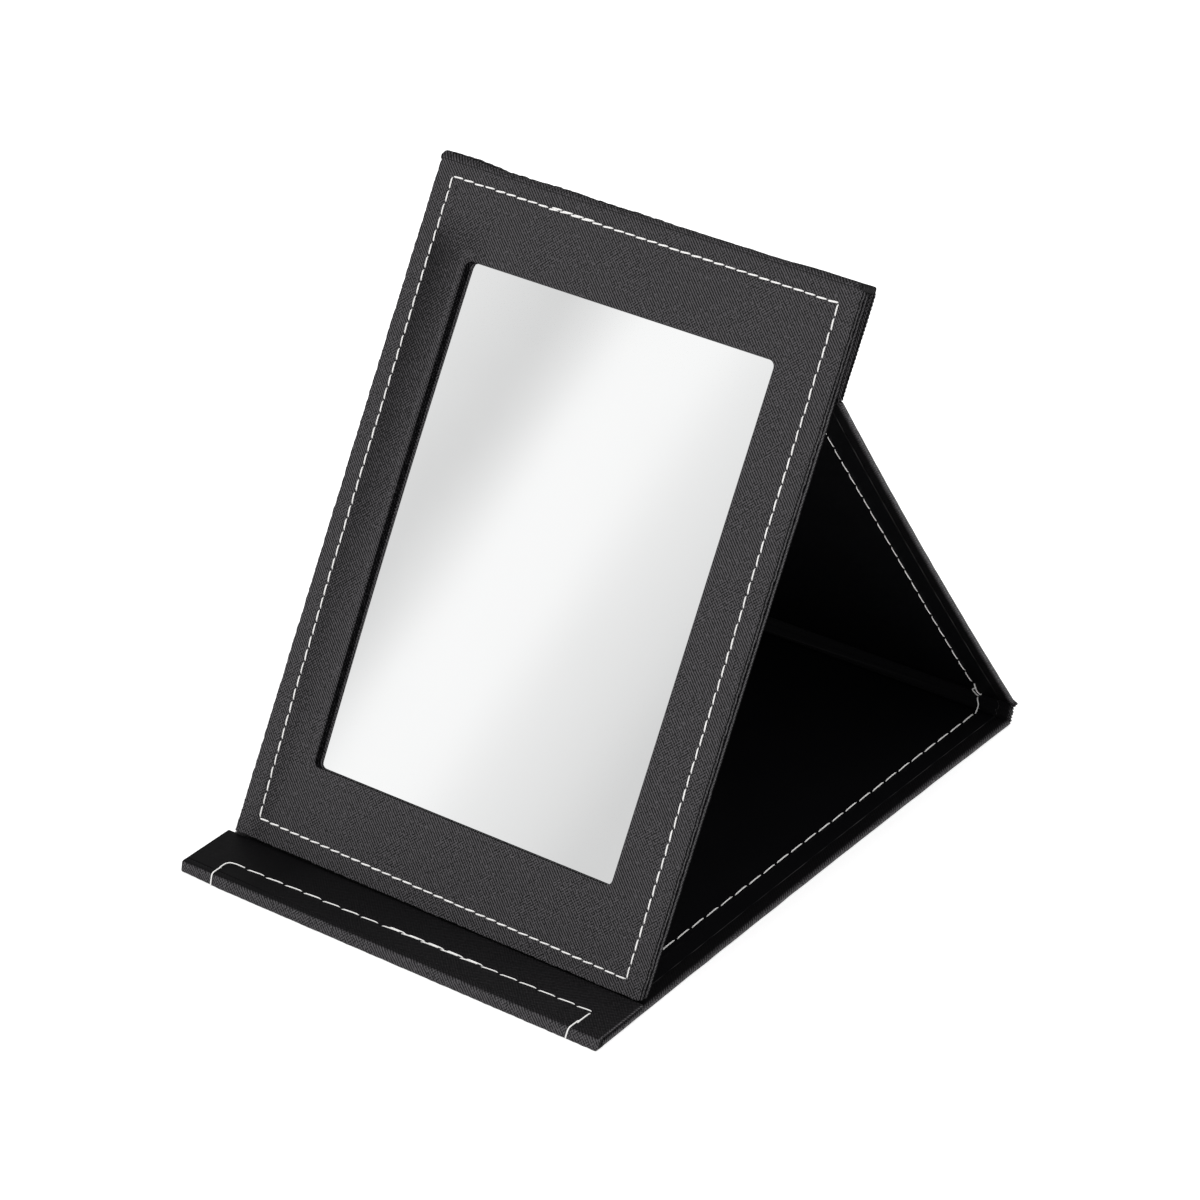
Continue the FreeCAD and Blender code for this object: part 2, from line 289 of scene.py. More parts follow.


# %% [markdown]
# ## Finishes
# Each finish is a small tree of shading nodes. Black sheet shows mostly what it reflects, so
# the grain has to change colour and slope together: ridges a little paler than the valleys
# between them, a painted sheen for the light that the ridges catch.

# %% Nodes and sockets
def add(tree, kind, sockets=None, **settings):
    """Add a node, set its properties, and fill its inputs with values or links."""
    made = tree.nodes.new(kind)
    for key, value in settings.items():
        setattr(made, key, value)
    for key, value in (sockets or {}).items():
        if isinstance(value, bpy.types.NodeSocket):
            tree.links.new(value, made.inputs[key])
        else:
            made.inputs[key].default_value = value
    return made


def new_finish(name, **sockets):
    """Material with a Principled shader whose constant sockets are set directly."""
    finish = bpy.data.materials.new(name)
    finish.use_nodes = True
    shader = finish.node_tree.nodes["Principled BSDF"]
    for key, value in sockets.items():
        shader.inputs[key.replace("_", " ")].default_value = value
    return finish, finish.node_tree, shader


def feed(shader, **sources):
    """Link sources to the sockets of the same names."""
    for key, source in sources.items():
        shader.id_data.links.new(source, shader.inputs[key.replace("_", " ")])


# %% Kinds of node
mix_first = 6
mix_second = 7
mix_result = 2


def attribute(tree, name, output):
    """A mesh attribute: its vector or its single value."""
    return add(tree, "ShaderNodeAttribute", attribute_name=name).outputs[output]


def math_node(tree, operation, first, second=0.0, third=0.0):
    """One arithmetic step between sockets or numbers."""
    return add(tree, "ShaderNodeMath", {0: first, 1: second, 2: third}, operation=operation).outputs[0]


def noise(tree, vector, scale, detail=2.0):
    """Cloudy noise between 0 and 1, with scale in cycles per unit of the vector."""
    sockets = {"Vector": vector, "Scale": scale, "Detail": detail}
    return add(tree, "ShaderNodeTexNoise", sockets).outputs["Fac"]


def object_noise(tree, scale, detail=3.0):
    """Noise on the object's own coordinates, which are metres."""
    return noise(tree, add(tree, "ShaderNodeTexCoord").outputs["Object"], scale, detail)


def mapped(tree, vector, **change):
    """A vector turned or stretched."""
    return add(tree, "ShaderNodeMapping", {"Vector": vector, **change}).outputs["Vector"]


def spread(tree, value, low, high, to_low=0.0, to_high=1.0):
    """Map a range of a value on to another range, clamped."""
    sockets = {"Value": value, "From Min": low, "From Max": high, "To Min": to_low, "To Max": to_high}
    return add(tree, "ShaderNodeMapRange", sockets).outputs["Result"]


def tint(tree, factor, first, second):
    """Mix two colours by a factor. The mix node's colour sockets go by number."""
    if not isinstance(second, bpy.types.NodeSocket):
        second = (*second, 1)
    sockets = {0: factor, mix_first: (*first, 1), mix_second: second}
    return add(tree, "ShaderNodeMix", sockets, data_type="RGBA").outputs[mix_result]


def bump(tree, height, strength, distance):
    """Slope of a height, with the distance in millimetres."""
    sockets = {"Height": height, "Strength": strength, "Distance": distance * MM}
    return add(tree, "ShaderNodeBump", sockets).outputs["Normal"]


# %% [markdown]
# ### Grained sheet
# The sheet is embossed with two sets of fine lines at 45 degrees to its edges. On the real
# frame they repeat every two thirds of a millimetre, the set that falls to the right is the
# stronger, and each line breaks off after a few millimetres. Bands on a turned coordinate give
# the lines, and noise stretched along them breaks them up. The lines swing about an even mean,
# so the sheet looks the same shade all over. Where the grain attribute is 0 the sheet stays
# smooth. The attribute carries painted light too: below 0 painted shade, dark and without
# sheen, and above 1 a paler painted highlight.

# %% Grained sheet
line_pitch = 0.66
wave_scale = 2 * math.pi / (20 * line_pitch)


def line_set(tree, sheet, angle):
    """One set of broken lines, negative in the valleys and positive on the ridges."""
    turned = mapped(tree, sheet, Rotation=(0, 0, angle))
    sockets = {"Vector": turned, "Scale": wave_scale, "Distortion": 1.1, "Detail": 1.5,
               "Detail Scale": 1.6}
    bands = add(tree, "ShaderNodeTexWave", sockets).outputs["Fac"]
    ridges = spread(tree, bands, 0.2, 0.8, -0.85, 0.85)
    stretched = mapped(tree, turned, Scale=(1.3, 0.42, 1))
    breaks = spread(tree, noise(tree, stretched, 1.0), 0.36, 0.56, 0.35, 1.0)
    return math_node(tree, "MULTIPLY", ridges, breaks)


def grained_sheet():
    """Crosshatched black sheet as the grain attribute asks; above 1 painted highlight, below 0 painted shade."""
    finish, tree, shader = new_finish("grained_sheet", IOR=1.48)
    sheet = attribute(tree, "sheet", "Vector")
    grain_and_painted_light = attribute(tree, "grain_and_painted_light", "Fac")
    strong = line_set(tree, sheet, math.radians(-45))
    weak = line_set(tree, sheet, math.radians(45))
    patch = noise(tree, sheet, 0.09)
    strong = math_node(tree, "MULTIPLY", strong, spread(tree, patch, 0.4, 0.6, 1.5, 1.0))
    weak = math_node(tree, "MULTIPLY", weak, spread(tree, patch, 0.4, 0.6, 0.25, 0.95))
    lines = math_node(tree, "ADD", strong, math_node(tree, "ADD", weak, 0.5))
    fine = spread(tree, noise(tree, sheet, 1.5), 0.3, 0.7, -0.75, 0.75)
    lines = math_node(tree, "ADD", lines, fine)
    height = math_node(tree, "MULTIPLY", lines, grain_and_painted_light)
    # Near-black valleys and paler ridges: the ridge colour is painted sheen.
    feed(shader, Base_Color=tint(tree, spread(tree, height, 0.0, 1.0), (0.0022, 0.0021, 0.0024),
                                 (0.0715, 0.0675, 0.0725)),
         Specular_IOR_Level=spread(tree, grain_and_painted_light, -0.25, 1.0, 0.0, 0.20),
         Roughness=spread(tree, lines, 0.0, 1.0, 0.58, 0.44),
         Normal=bump(tree, height, 0.9, 0.08))
    return finish


skin_finish = grained_sheet()
print("grain lines every", line_pitch, "mm")

# %% [markdown]
# ### Smooth lining, thread, glass and what is hidden
# The lining is the same black without the embossing, with a faint leather pore. The thread is
# two strands twisted together, which shows as slanting stripes. The mirror is silver behind
# float glass: a metal with a trace of haze. Card, adhesive and steel lie inside the panels.

# %% Lining and thread
def lining_sheet():
    """Black sheet with faint pores, slow changes of sheen, a pale cut edge and painted highlight lines where
    asked.
    """
    finish, tree, shader = new_finish("smooth_lining", Specular_IOR_Level=0.03)
    sheet = attribute(tree, "sheet", "Vector")
    pores = noise(tree, sheet, 1.8, 4.0)
    cloud = noise(tree, sheet, 0.05)
    shade = math_node(tree, "MULTIPLY_ADD", attribute(tree, "grain_and_painted_light", "Fac"), 14.0, pores)
    feed(shader, Base_Color=tint(tree, spread(tree, shade, 0.0, 15.0), (0.0016, 0.0016, 0.0021),
                                 (0.034, 0.033, 0.034)),
         Roughness=spread(tree, cloud, 0.3, 0.7, 0.46, 0.58),
         Normal=bump(tree, pores, 0.5, 0.03))
    return finish


def white_thread(turn_length=1.1):
    """Twisted white thread: stripes that climb round it, two for each turn."""
    finish, tree, shader = new_finish("white_thread", Roughness=0.72, Sheen_Weight=0.15)
    sheet = attribute(tree, "sheet", "Vector")
    parts = add(tree, "ShaderNodeSeparateXYZ", {0: sheet}).outputs
    climb = math_node(tree, "MULTIPLY_ADD", parts["X"], 1 / turn_length, parts["Y"])
    stripe = math_node(tree, "SINE", math_node(tree, "MULTIPLY", climb, 4 * math.pi))
    fuzz = noise(tree, sheet, 3.0, 3.0)
    height = math_node(tree, "MULTIPLY_ADD", fuzz, 0.6, stripe)
    feed(shader, Base_Color=tint(tree, spread(tree, height, -1.0, 1.6), (0.74, 0.73, 0.71),
                                 (0.97, 0.96, 0.95)),
         Normal=bump(tree, height, 0.6, 0.05))
    return finish


# %% A finish for every slot
def speckled(name, first, second, scale, detail=5.0, metallic=0.0, roughness=(0.6, 0.85)):
    """Two close colours and a roughness that follow the same noise."""
    finish, tree, shader = new_finish(name, Metallic=metallic)
    speck = object_noise(tree, scale, detail)
    feed(shader, Base_Color=tint(tree, speck, first, second),
         Roughness=spread(tree, speck, 0.3, 0.7, *roughness))
    return finish


finish_of_slot = {
    "grained_skin": skin_finish,
    "smooth_lining": lining_sheet(),
    "white_thread": white_thread(),
    "mirror_glass": speckled("silvered_glass", (0.955, 0.96, 0.96), (0.975, 0.98, 0.98), 24.0, 3.0,
                             1.0, (0.035, 0.055)),
    "card": speckled("grey_card", (0.26, 0.24, 0.21), (0.40, 0.38, 0.34), 900),
    "adhesive": speckled("adhesive_sheet", (0.66, 0.62, 0.52), (0.80, 0.77, 0.68), 300),
    "keeper_steel": speckled("keeper_steel", (0.50, 0.50, 0.51), (0.62, 0.62, 0.63), 700,
                             metallic=1.0, roughness=(0.3, 0.45)),
    "magnet": speckled("nickel_plate", (0.58, 0.57, 0.54), (0.70, 0.69, 0.66), 700,
                       metallic=1.0, roughness=(0.12, 0.22)),
}
for row in frame["record"]["subparts"]:
    node = frame["nodes"][row["node"]]
    node.data.materials.clear()
    node.data.materials.append(finish_of_slot[row["material_slot"]])
print(len(finish_of_slot), "finishes on", len(frame["nodes"]), "nodes")


def lay(name, points, sheet, grain_and_painted_light, body, slot, *replaced, finish=None, ring=False):
    """Fold a grid from the flat layout on to its body, in the slot's finish unless one is given."""
    finish = finish or finish_of_slot[slot]
    carry(grid_piece(name, fold(points, body), finish, sheet, grain_and_painted_light, ring), body, slot, *replaced)


# %% [markdown]
# ## Panels of the cover
# A panel is board wrapped in sheet, so its edges are soft and its faces are never quite flat.
# A cube with a bevel would be too even. Instead a closed profile, the panel's cross-section,
# is carried along the cover. Columns crowd where something happens: at the edges and beside
# the seams, where the thread pulls the sheet down.

# %% Profile of a panel
edge_round = 0.5
hem_step = 0.12
hem_width = 4.0
seam_half_width = 0.45
seam_depth = 0.10
seam_pitch = 6.2
row_step = 1.1
sag_reach = 6.0
sag_wave = 34.0
edge_reach = 1.5
edge_wave = 9.0
edge_swing = np.linspace(0, np.pi / 2, 5)[1:]


def crowd(low, high, step, places=(), reach=1.2, count=9):
    """Evenly spaced values with extra ones crowded round the given places."""
    even = np.linspace(low, high, max(2, int(round((high - low) / step)) + 1))
    extra = [place + np.linspace(-reach, reach, count) for place in places]
    extra = [values[(values > low + 0.01) & (values < high - 0.01)] for values in extra]
    return np.unique(np.concatenate([even, *extra]))


def panel_profile(half, low, high, radius, seams, step):
    """Closed cross-section of a panel: outer face, rounded edge, inner face, rounded edge.

    Returns x and z round the section and the sheet's own x, which runs on past the edge to
    the middle of the panel's thickness and back.
    """
    rise = radius * np.sin(edge_swing)
    reach = radius * np.cos(edge_swing)
    flat = half - radius
    face = crowd(-flat, flat, step, (*seams, -flat, flat))
    x = np.concatenate([face, flat + rise, flat + reach, face[::-1], -flat - rise, -flat - reach])
    z = np.concatenate([face * 0 + low, low + radius - reach, high - radius + rise,
                        face * 0 + high, high - radius + reach, low + radius - rise])
    keep = np.hypot(x - np.roll(x, 1), z - np.roll(z, 1)) > 1e-6
    x = x[keep]
    z = z[keep]
    beyond = np.minimum(z - low, high - z) * (np.abs(x) > flat - 1e-6)
    return x, z, np.sign(x) * (np.abs(x) + beyond)


def seam_dip(x, y, seam_x):
    """How far the thread pulls the sheet down: a groove along the seam, deepest at its holes."""
    holes = 0.55 + 0.45 * np.cos(y * 2 * np.pi / seam_pitch)
    return seam_depth * hump(np.abs(x), seam_x, seam_half_width) * holes


# %% Surface of a panel
def panel_surface(y0, y1, half, low, high, radius, seam_x=None, step=4.0, rows=row_step,
                  closed_high=False, closed_low=False, uneven=0.05, seed=1):
    """A panel in the flat layout: its profile carried from y0 to y1.

    At a closed end the last rows follow a quarter circle in from the end, so the end is as
    round as the sides. Returns the points and their sheet coordinates.
    """
    seams = () if seam_x is None else (-seam_x, seam_x)
    x, z, across = panel_profile(half, low, high, radius, seams, step)
    onward = radius * np.sin(edge_swing)
    drop = radius * (1 - np.cos(edge_swing))
    y = crowd(y0 + radius * closed_low, y1 - radius * closed_high, rows)
    inset = np.zeros(len(y))
    if closed_high:
        y = np.append(y, y1 - radius + onward)
        inset = np.append(inset, drop)
    if closed_low:
        y = np.append(y0 + radius - onward[::-1], y)
        inset = np.append(drop[::-1], inset)
    y = y[:, None]
    inset = inset[:, None]
    middle = (low + high) / 2
    wide = x * (half - inset) / half
    tall = middle + (z - middle) * (high - low - 2 * inset) / (high - low)
    side = np.sign(z - middle)
    if seam_x is not None:
        tall = tall - side * seam_dip(wide, y, seam_x)
    inward = ramp(half - np.abs(wide), 0.0, sag_reach)
    tall = tall - side * uneven * inward * (1 + ripple(wide, y, sag_wave, seed)) / 2
    edge = ramp(np.abs(wide), half - edge_reach, half)
    wide = wide + np.sign(wide) * edge * uneven * (ripple(y, 0, edge_wave, seed + 50) - 1)
    return stacked(wide, y, tall), stacked(across, y, 0.0)


# %% [markdown]
# ## Base and strut
# The base lies on the table and the strut leans against the mirror. Both are the same build:
# grained sheet outside, turned in by 4 mm at the sides, and a smooth lining laid over the
# turned-in hem, whose edge shows as a fine step. Skin and lining are two pieces here too, and
# the lining is bedded in the skin. Sewing draws the long sides in, so both panels are a little
# narrower in the middle than at their ends.

# %% Sizes of base and strut
skin_top = cover_thickness - hem_step
lining_bed = 0.8
lining_half = cover_half - hem_width
lining_round = 0.11
card_round = 0.1
base_seam_x = 57.5
strut_seam_x = 55.8
crease_reach = flat_box("spine_skin")[0][1] - base_crease[0]
fold_gap = 0.15
fold_line = flap_crease[0] + fold_gap
end_widen = 1.0105
base_shift = -0.09
base_run = (fold_line, base_crease[0] - crease_reach)
strut_run = (flat_strut_crease[0] + crease_reach, flat_mirror_crease[0] - crease_reach)
base_drawn = 0.008
strut_drawn = 0.020
panel_runs = {"base": (base_run, base_seam_x, base_drawn, end_widen, base_shift),
              "strut": (strut_run, strut_seam_x, strut_drawn, 1.0, 0.0)}
print("base from", base_run[0].round(1), "to", base_run[1].round(1), "strut from",
      strut_run[0].round(1), "to", strut_run[1].round(1))


# %% Base and strut
def drawn_in(y, run, drawn):
    """Factor of the width along a panel: 1 at its ends, less by a parabola between them."""
    share = (y - run[0]) / (run[1] - run[0])
    return 1 - drawn * 4 * share * (1 - share)


def hem_grain_and_highlight(points):
    """Grain outside, a painted highlight round the side edges, and little on the hem, which stays smooth and dark.
    """
    inside = ramp(points[..., 2], skin_top - 0.25, skin_top - 0.05)
    out = np.abs(points[..., 0])
    inwards = out.max(axis=1, keepdims=True) - out
    # Painted highlight on the outermost half millimetre of each side.
    stretched = 1 + 0.3 * ramp(-inwards, -0.5, -0.1)
    return stretched * (1 - 0.98 * inside * ramp(inwards, 0.0, 1.4))


def cut_edge(points):
    """The lining's cut edge: 1 at the very side, 0 on its face."""
    return ramp(np.abs(points[..., 0]), lining_half - 0.10, lining_half - 0.03)


for seed, (body, (run, seam_x, drawn, widen, shift)) in enumerate(panel_runs.items(), start=3):
    points, sheet = panel_surface(*run, cover_half, 0, skin_top, edge_round, seam_x, seed=seed)
    grain_and_painted_light = hem_grain_and_highlight(points)
    points[..., 0] = points[..., 0] * drawn_in(points[..., 1], run, drawn) * widen + shift
    lay(f"{body}_cover", points, sheet, grain_and_painted_light, body, "grained_skin", f"{body}_skin")
    points, sheet = panel_surface(*run, lining_half, lining_bed, cover_thickness, lining_round,
                                  seam_x, seed=seed + 10)
    grain_and_painted_light = cut_edge(points)
    points[..., 0] *= drawn_in(points[..., 1], run, drawn)
    lay(f"{body}_lining_sheet", points, sheet, grain_and_painted_light, body, "smooth_lining", f"{body}_lining")

card_low, card_high = flat_box("strut_board")
points, sheet = panel_surface(*strut_run, card_high[0], card_low[2], card_high[2], card_round, uneven=0.0)
points[..., 0] *= drawn_in(points[..., 1], strut_run, strut_drawn)
lay("strut_card", points, sheet, 0.0, "strut", "card", "strut_board")

# %% [markdown]
# ## Creases
# At a crease there is no board, only sheet, and it bends. A strip of the same profile carries
# the cover across: each row is turned about the crease by its share of the angle, from none
# at one panel to all of it at the next. At the sides the turned-in edge has nowhere to go and
# puckers into small ribs, and two faint lines of painted highlight lie across the inside of the
# spine, along the edges of its folds.

# %% Layers and painted fold highlights of a crease
strip_step = 0.11
rib_reach = 1.2
rib_end = 0.8
rib_shade = 0.9
flare_width = 0.6
spine_flare = 0.8
true_width = (1.0, 0.0)
layers = {
    "skin": (cover_half, 0, skin_top, edge_round, "grained_skin", 0.78, 0.20),
    "lining": (lining_half, lining_bed, cover_thickness, lining_round, "smooth_lining", 2.34, 0.40),
}


def fold_highlights(points):
    """Two faint painted highlight lines across the inside of the spine, at its fold edges, slightly askew, that
    fade to the right.
    """
    x = points[..., 0]
    along = points[..., 1] - base_crease[0]
    marks = hump(along, 1.0 + 0.027 * x, 0.12) + hump(along, 0.017 * x - 0.6, 0.12)
    return 0.3 * marks * ramp(-x, -60.0, 0.0)


# %% Strip over a crease
def crease_strip(name, bodies, run, nodes, wide=(true_width, true_width), flare=0.0):
    """Skin and lining strips over the crease between two bodies, along a run of the flat layout.

    The crease is the second body's first fold. A smooth step shares out its angle over the
    reach on either side of it, and the folds that come after it turn the whole strip. nodes
    lists what each layer replaces, wide gives the factor and the shift of the skin's width at
    both ends, and flare widens it at the crease itself. Returns where the bend starts and ends.
    """
    (centre, angle), *after = folds[bodies[1]]
    reach = (centre[0] - crease_reach, centre[0] + crease_reach)

    def bent(points):
        points = turn(points, centre, angle * ramp(points[..., 1], *reach))
        for place, swing in after:
            points = turn(points, place, swing)
        return points

    ends = bent(stacked(0.0, reach, cover_thickness / 2)) * MM
    for layer, (half, low, high, radius, slot, rib_pitch, rib_depth) in layers.items():
        points, sheet = panel_surface(*run, half, low, high, radius, rows=strip_step, uneven=0.0)
        x, y, _ = axes_of(points)
        edge = ramp(np.abs(x), half - rib_reach, half)
        within = ramp(y, run[0], run[0] + rib_end) * ramp(-y, -run[1], rib_end - run[1])
        ribs = np.sin(y * 2 * np.pi / rib_pitch) - 1
        grain_and_painted_light = hem_grain_and_highlight(points) if layer == "skin" else cut_edge(points) + fold_highlights(points)
        x += np.sign(x) * edge * within * rib_depth * ribs
        if layer == "skin":
            grain_and_painted_light = grain_and_painted_light * (1 + rib_shade * edge * within * np.maximum(ribs, -1.1))
            widen, shift = (np.interp(y, run, pair) for pair in zip(*wide))
            x *= widen
            x += shift
            x += np.sign(x) * edge * flare * hump(y, centre[0], flare_width)
        strip = grid_piece(f"{name}_{layer}", bent(points), finish_of_slot[slot], sheet, grain_and_painted_light)
        bend_between(strip, bodies, ends, slot)
        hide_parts(*nodes[layer])
    return ends


# %% The three creases
spine_middle = (base_crease[0] + flat_strut_crease[0]) / 2
spine_wide = ((1 + end_widen) / 2, base_shift / 2)
spine_ends = crease_strip("lower_spine", ("base", "spine"), (base_run[1], spine_middle),
                          {"skin": ["base_crease", "spine_skin"], "lining": ["spine_lining"]},
                          ((end_widen, base_shift), spine_wide))
crease_strip("upper_spine", ("spine", "strut"), (spine_middle, strut_run[0]),
             {"skin": ["strut_crease"], "lining": []}, (spine_wide, true_width), spine_flare)
top_start = flat_mirror_crease[0] + crease_reach
crease_strip("top_fold", ("strut", "mirror"), (strut_run[1], top_start),
             {"skin": ["mirror_crease"], "lining": []})

# %% [markdown]
# ## The flap and its rolled front
# At the front the cover runs on past the base, rolls up and over, and lies back on it as a
# low step for the mirror's foot. The roll is the panel's own profile carried round a rounded
# square: each row of it is drawn in towards the roll's axis by the depth in the sheet, so the
# outside stays crisp and the inside closes to a narrow slot. It has the panel's cross-section
# at both ends, and the join can't be seen. Its front leans out a little towards the table.

# %% Flap
roll_radius = flap_crease[1]
flap_top = 2 * roll_radius
flap_deeper = 0.7
flap_end = flat_box("flap_skin")[0][1] - flap_deeper
flap_fold_line = flap_crease[0] - fold_gap
lip_front = flap_crease[0] - roll_radius


def side_grain_and_shade(x, depth):
    """Smooth on top with painted shade to the left, grained at the sides, and painted shade where they turn in."""
    top = 0.055 + 0.045 * x / cover_half - 0.07 * ramp(-x, 30.0, 60.0)
    sides = 1.1 * ramp(np.abs(x), cover_half - 0.35, cover_half - 0.10)
    return (top + sides) * (1 - 1.2 * ramp(depth, 0.3, 0.55))


def spread_end(points):
    """The base's end and the flap, a little wider than the model and to its left."""
    return points * (end_widen, 1, 1) + (base_shift, 0, 0)


points, sheet = panel_surface(flap_end, flap_fold_line, cover_half, 0, skin_top, edge_round,
                              closed_low=True, rows=0.8, uneven=0.06, seed=21)
grain_and_painted_light = side_grain_and_shade(points[..., 0], points[..., 2])
lay("flap_cover", spread_end(points), sheet, grain_and_painted_light, "flap", "grained_skin", "flap_skin")
points, sheet = panel_surface(flap_end + hem_width, flap_fold_line, lining_half, lining_bed,
                              cover_thickness, lining_round, rows=2.0, seed=22)
lay("flap_lining_sheet", points, sheet, 0.0, "flap", "smooth_lining", "flap_lining")

# %% Path of the roll
upper_round = 0.75
under_round = 0.4
roll_lean = 1.1
upright_end = 17.0


def roll_corner(radius, steps):
    """Quarter circle that rounds the lower front corner of the roll."""
    swing = np.linspace(0, np.pi / 2, steps)
    return stacked(-np.sin(swing), -np.cos(swing)) * radius - (roll_radius - radius)


def roll_path(steps=7):
    """Half of a rounded square about the roll's axis, from its underside over the front."""
    lower = roll_corner(under_round, steps)
    upper = roll_corner(upper_round, steps)[::-1] * (1, -1)
    face = stacked(-roll_radius, np.linspace(lower[-1, 1], upper[0, 1], 5)[1:-1])
    return np.concatenate([[(0, -roll_radius)], lower, face, upper, [(0, roll_radius)]])


def lean_out(points):
    """Carry the roll's front forward by the depth below its top, less at the left end."""
    x, y, z = axes_of(points)
    share = 0.45 + 0.55 * ramp(x, -cover_half, upright_end - cover_half)
    front = ramp(flap_crease[0] - y, 0.0, roll_radius)
    return points - stacked(0.0, roll_lean * share * front * (flap_top - z) / flap_top, 0.0)


# %% Rolled front
crumple_depth = 0.05
crumple_wave = 2.2
roll_step = 0.45
bend_inset = 0.35
x, depth, across = panel_profile(cover_half, 0, skin_top, edge_round, (), roll_step)
path = roll_path()
inset = 1 - depth / roll_radius
points = stacked(x, flap_crease[0] + path[:, :1] * inset, flap_crease[1] + path[:, 1:] * inset)
ends = stacked(x, fold_line, depth)
points = np.concatenate([ends[None], points, ends[None] * (1, 1, -1) + (0, 0, flap_top)])
run = run_length(points[:, 0])[:, None]
from_top = run[-1] - run
crumple = ramp(run, 0.3, 1.5) * ramp(from_top, 0.3, 1.5)
points[..., 1] -= crumple_depth * crumple * ripple(x, run, crumple_wave, 5) * (depth < 0.6)
sheet = stacked(across, run, 0.0)
# Grain on the roll's front, with painted shade lower down the front and towards its left end.
front_grain_and_shade = ramp(from_top, 1.3, 1.9) * (1 - 0.2 * ramp(from_top, 2.4, 4.0)) * (depth < 0.45)
front_grain_and_shade = front_grain_and_shade * (1 + 0.12 * x / cover_half)
grain_and_painted_light = np.maximum(front_grain_and_shade, side_grain_and_shade(x, depth))
roll = grid_piece("flap_roll_sheet", spread_end(lean_out(points)), skin_finish, sheet, grain_and_painted_light)
roll_ends = stacked(0.0, flap_crease[0], [bend_inset, flap_top - bend_inset]) * MM
bend_between(roll, ("base", "flap"), roll_ends, "grained_skin", "flap_roll")

# %% [markdown]
# ## Front frame
# The front of the mirror panel is card with a window, wrapped in grained sheet. Nested loops
# describe it: rounded rectangles that go up the window's wall, over its edge, across the face,
# over the outer edge and round the back to the start. All loops have the same number of points
# on each side, so they join into one closed ring.

# %% Loops of rounded rectangles
def loop_columns(along_x, along_y, corner):
    """Places round a rounded rectangle: on its inner corners' rectangle, and the way out."""
    side_x = np.linspace(-1, 1, along_x)
    side_y = np.linspace(-1, 1, along_y)
    swing = np.linspace(0, np.pi / 2, corner + 2)[1:-1]
    parts = [(side_x, -1, -np.pi / 2), (1, -1, swing - np.pi / 2), (1, side_y, 0), (1, 1, swing),
             (-side_x, 1, np.pi / 2), (-1, 1, swing + np.pi / 2), (-1, -side_y, np.pi),
             (-1, -1, swing + np.pi)]
    return np.concatenate([stacked(*part) for part in parts]).T


def loop_points(rows, columns):
    """Points of rounded rectangles: rows hold half width, low y, high y, radius and z."""
    half, low, high, radius, z = (value[:, None] for value in rows.T)
    across, along, way = columns
    x = across * (half - radius) + radius * np.cos(way)
    y = (low + high) / 2 + along * ((high - low) / 2 - radius) + radius * np.sin(way)
    return stacked(x, y, z)


def between(first, second, share):
    """Rows between two key rectangles, share by share."""
    return first + np.asarray(share)[:, None] * (second - first)


def grown(row, out, up):
    """Rows grown outwards from one key rectangle, and raised."""
    out, up = np.broadcast_arrays(out, up)
    return row + out[:, None] * np.array([1, -1, 1, 1, 0]) + up[:, None] * np.array([0, 0, 0, 0, 1])


def pushed(points, way, amount):
    """Points moved along the way out of their rectangle."""
    return points + stacked(amount * np.cos(way), amount * np.sin(way), 0.0)


# %% Key rectangles of the front frame
glass_overlap = 4.0
window_corner = 1.8
seam_corner = 0.8
outer_corner = 0.4
rim_round = 0.3
back_round = 0.3
face_rise = 0.3
panel_widen = 1.007
panel_shift = 0.4
thread_width = 0.50
frame_pitch = (3.4, 3.55)
glass_low, glass_high = flat_box("mirror_glass")
thread_low, thread_high = flat_box("frame_stitching")
window_key = np.array([glass_high[0] - glass_overlap, glass_low[1] + glass_overlap,
                       glass_high[1] - glass_overlap, window_corner, face_z])
seam_key = np.array([thread_high[0] - thread_width / 2, thread_low[1] + thread_width / 2,
                     thread_high[1] - thread_width / 2, seam_corner, face_z])
outer_key = np.array([panel_half, frame_low[1], frame_high[1] + face_rise, outer_corner, face_z])
rim_key = grown(outer_key, [-rim_round], 0.0)[0]
edge_key = grown(window_key, [edge_round], 0.0)[0]
frame_counts = (int(round(2 * seam_key[0] / frame_pitch[0])),
                int(round((seam_key[2] - seam_key[1]) / frame_pitch[1])))
print("stitches along and up", frame_counts)


def widened(points):
    """The mirror panel, a little wider than the model and to its right."""
    return points * (panel_widen, 1, 1) + (panel_shift, 0, 0)


# %% Rows of the front frame
points_per_stitch = 8
corner_points = 7
quarter = np.linspace(0, np.pi / 2, 6)
groove = np.array([1.3, 0.9, 0.65, 0.45, 0.3, 0.15])
wall_levels = np.array([0.0, 0.17, 0.21, 0.25, 0.9]) - front_thickness
back_turn = back_round * (1 - np.sin(quarter[1:])) - front_thickness
rows = np.concatenate([
    grown(window_key, 0.0, np.append(wall_levels, -edge_round)),
    grown(window_key, edge_round * (1 - np.cos(quarter[1:])), edge_round * (np.sin(quarter[1:]) - 1)),
    between(edge_key, seam_key, [0.03, 0.045, 0.06, 0.075, 0.10, 0.14, 0.28, 0.44, 0.60, 0.74, 0.84]),
    grown(seam_key, np.concatenate([-groove, [0], groove[::-1]]), 0.0),
    between(seam_key, rim_key, [0.45, 0.65, 0.85]),
    grown(rim_key, rim_round * np.sin(quarter), rim_round * (np.cos(quarter) - 1)),
    grown(outer_key, 0.0, np.linspace(-rim_round, back_round - front_thickness, 8)[1:]),
    grown(outer_key, back_round * (np.cos(quarter[1:]) - 1), back_turn),
    grown(outer_key, [-4.0, -12.0], -front_thickness),
])
columns = loop_columns(*(points_per_stitch * count + 1 for count in frame_counts), corner_points)
way = columns[2]
points = loop_points(rows, columns)
from_window = rows[:, 0:1] - window_key[0]
from_seam = rows[:, 0:1] - seam_key[0]
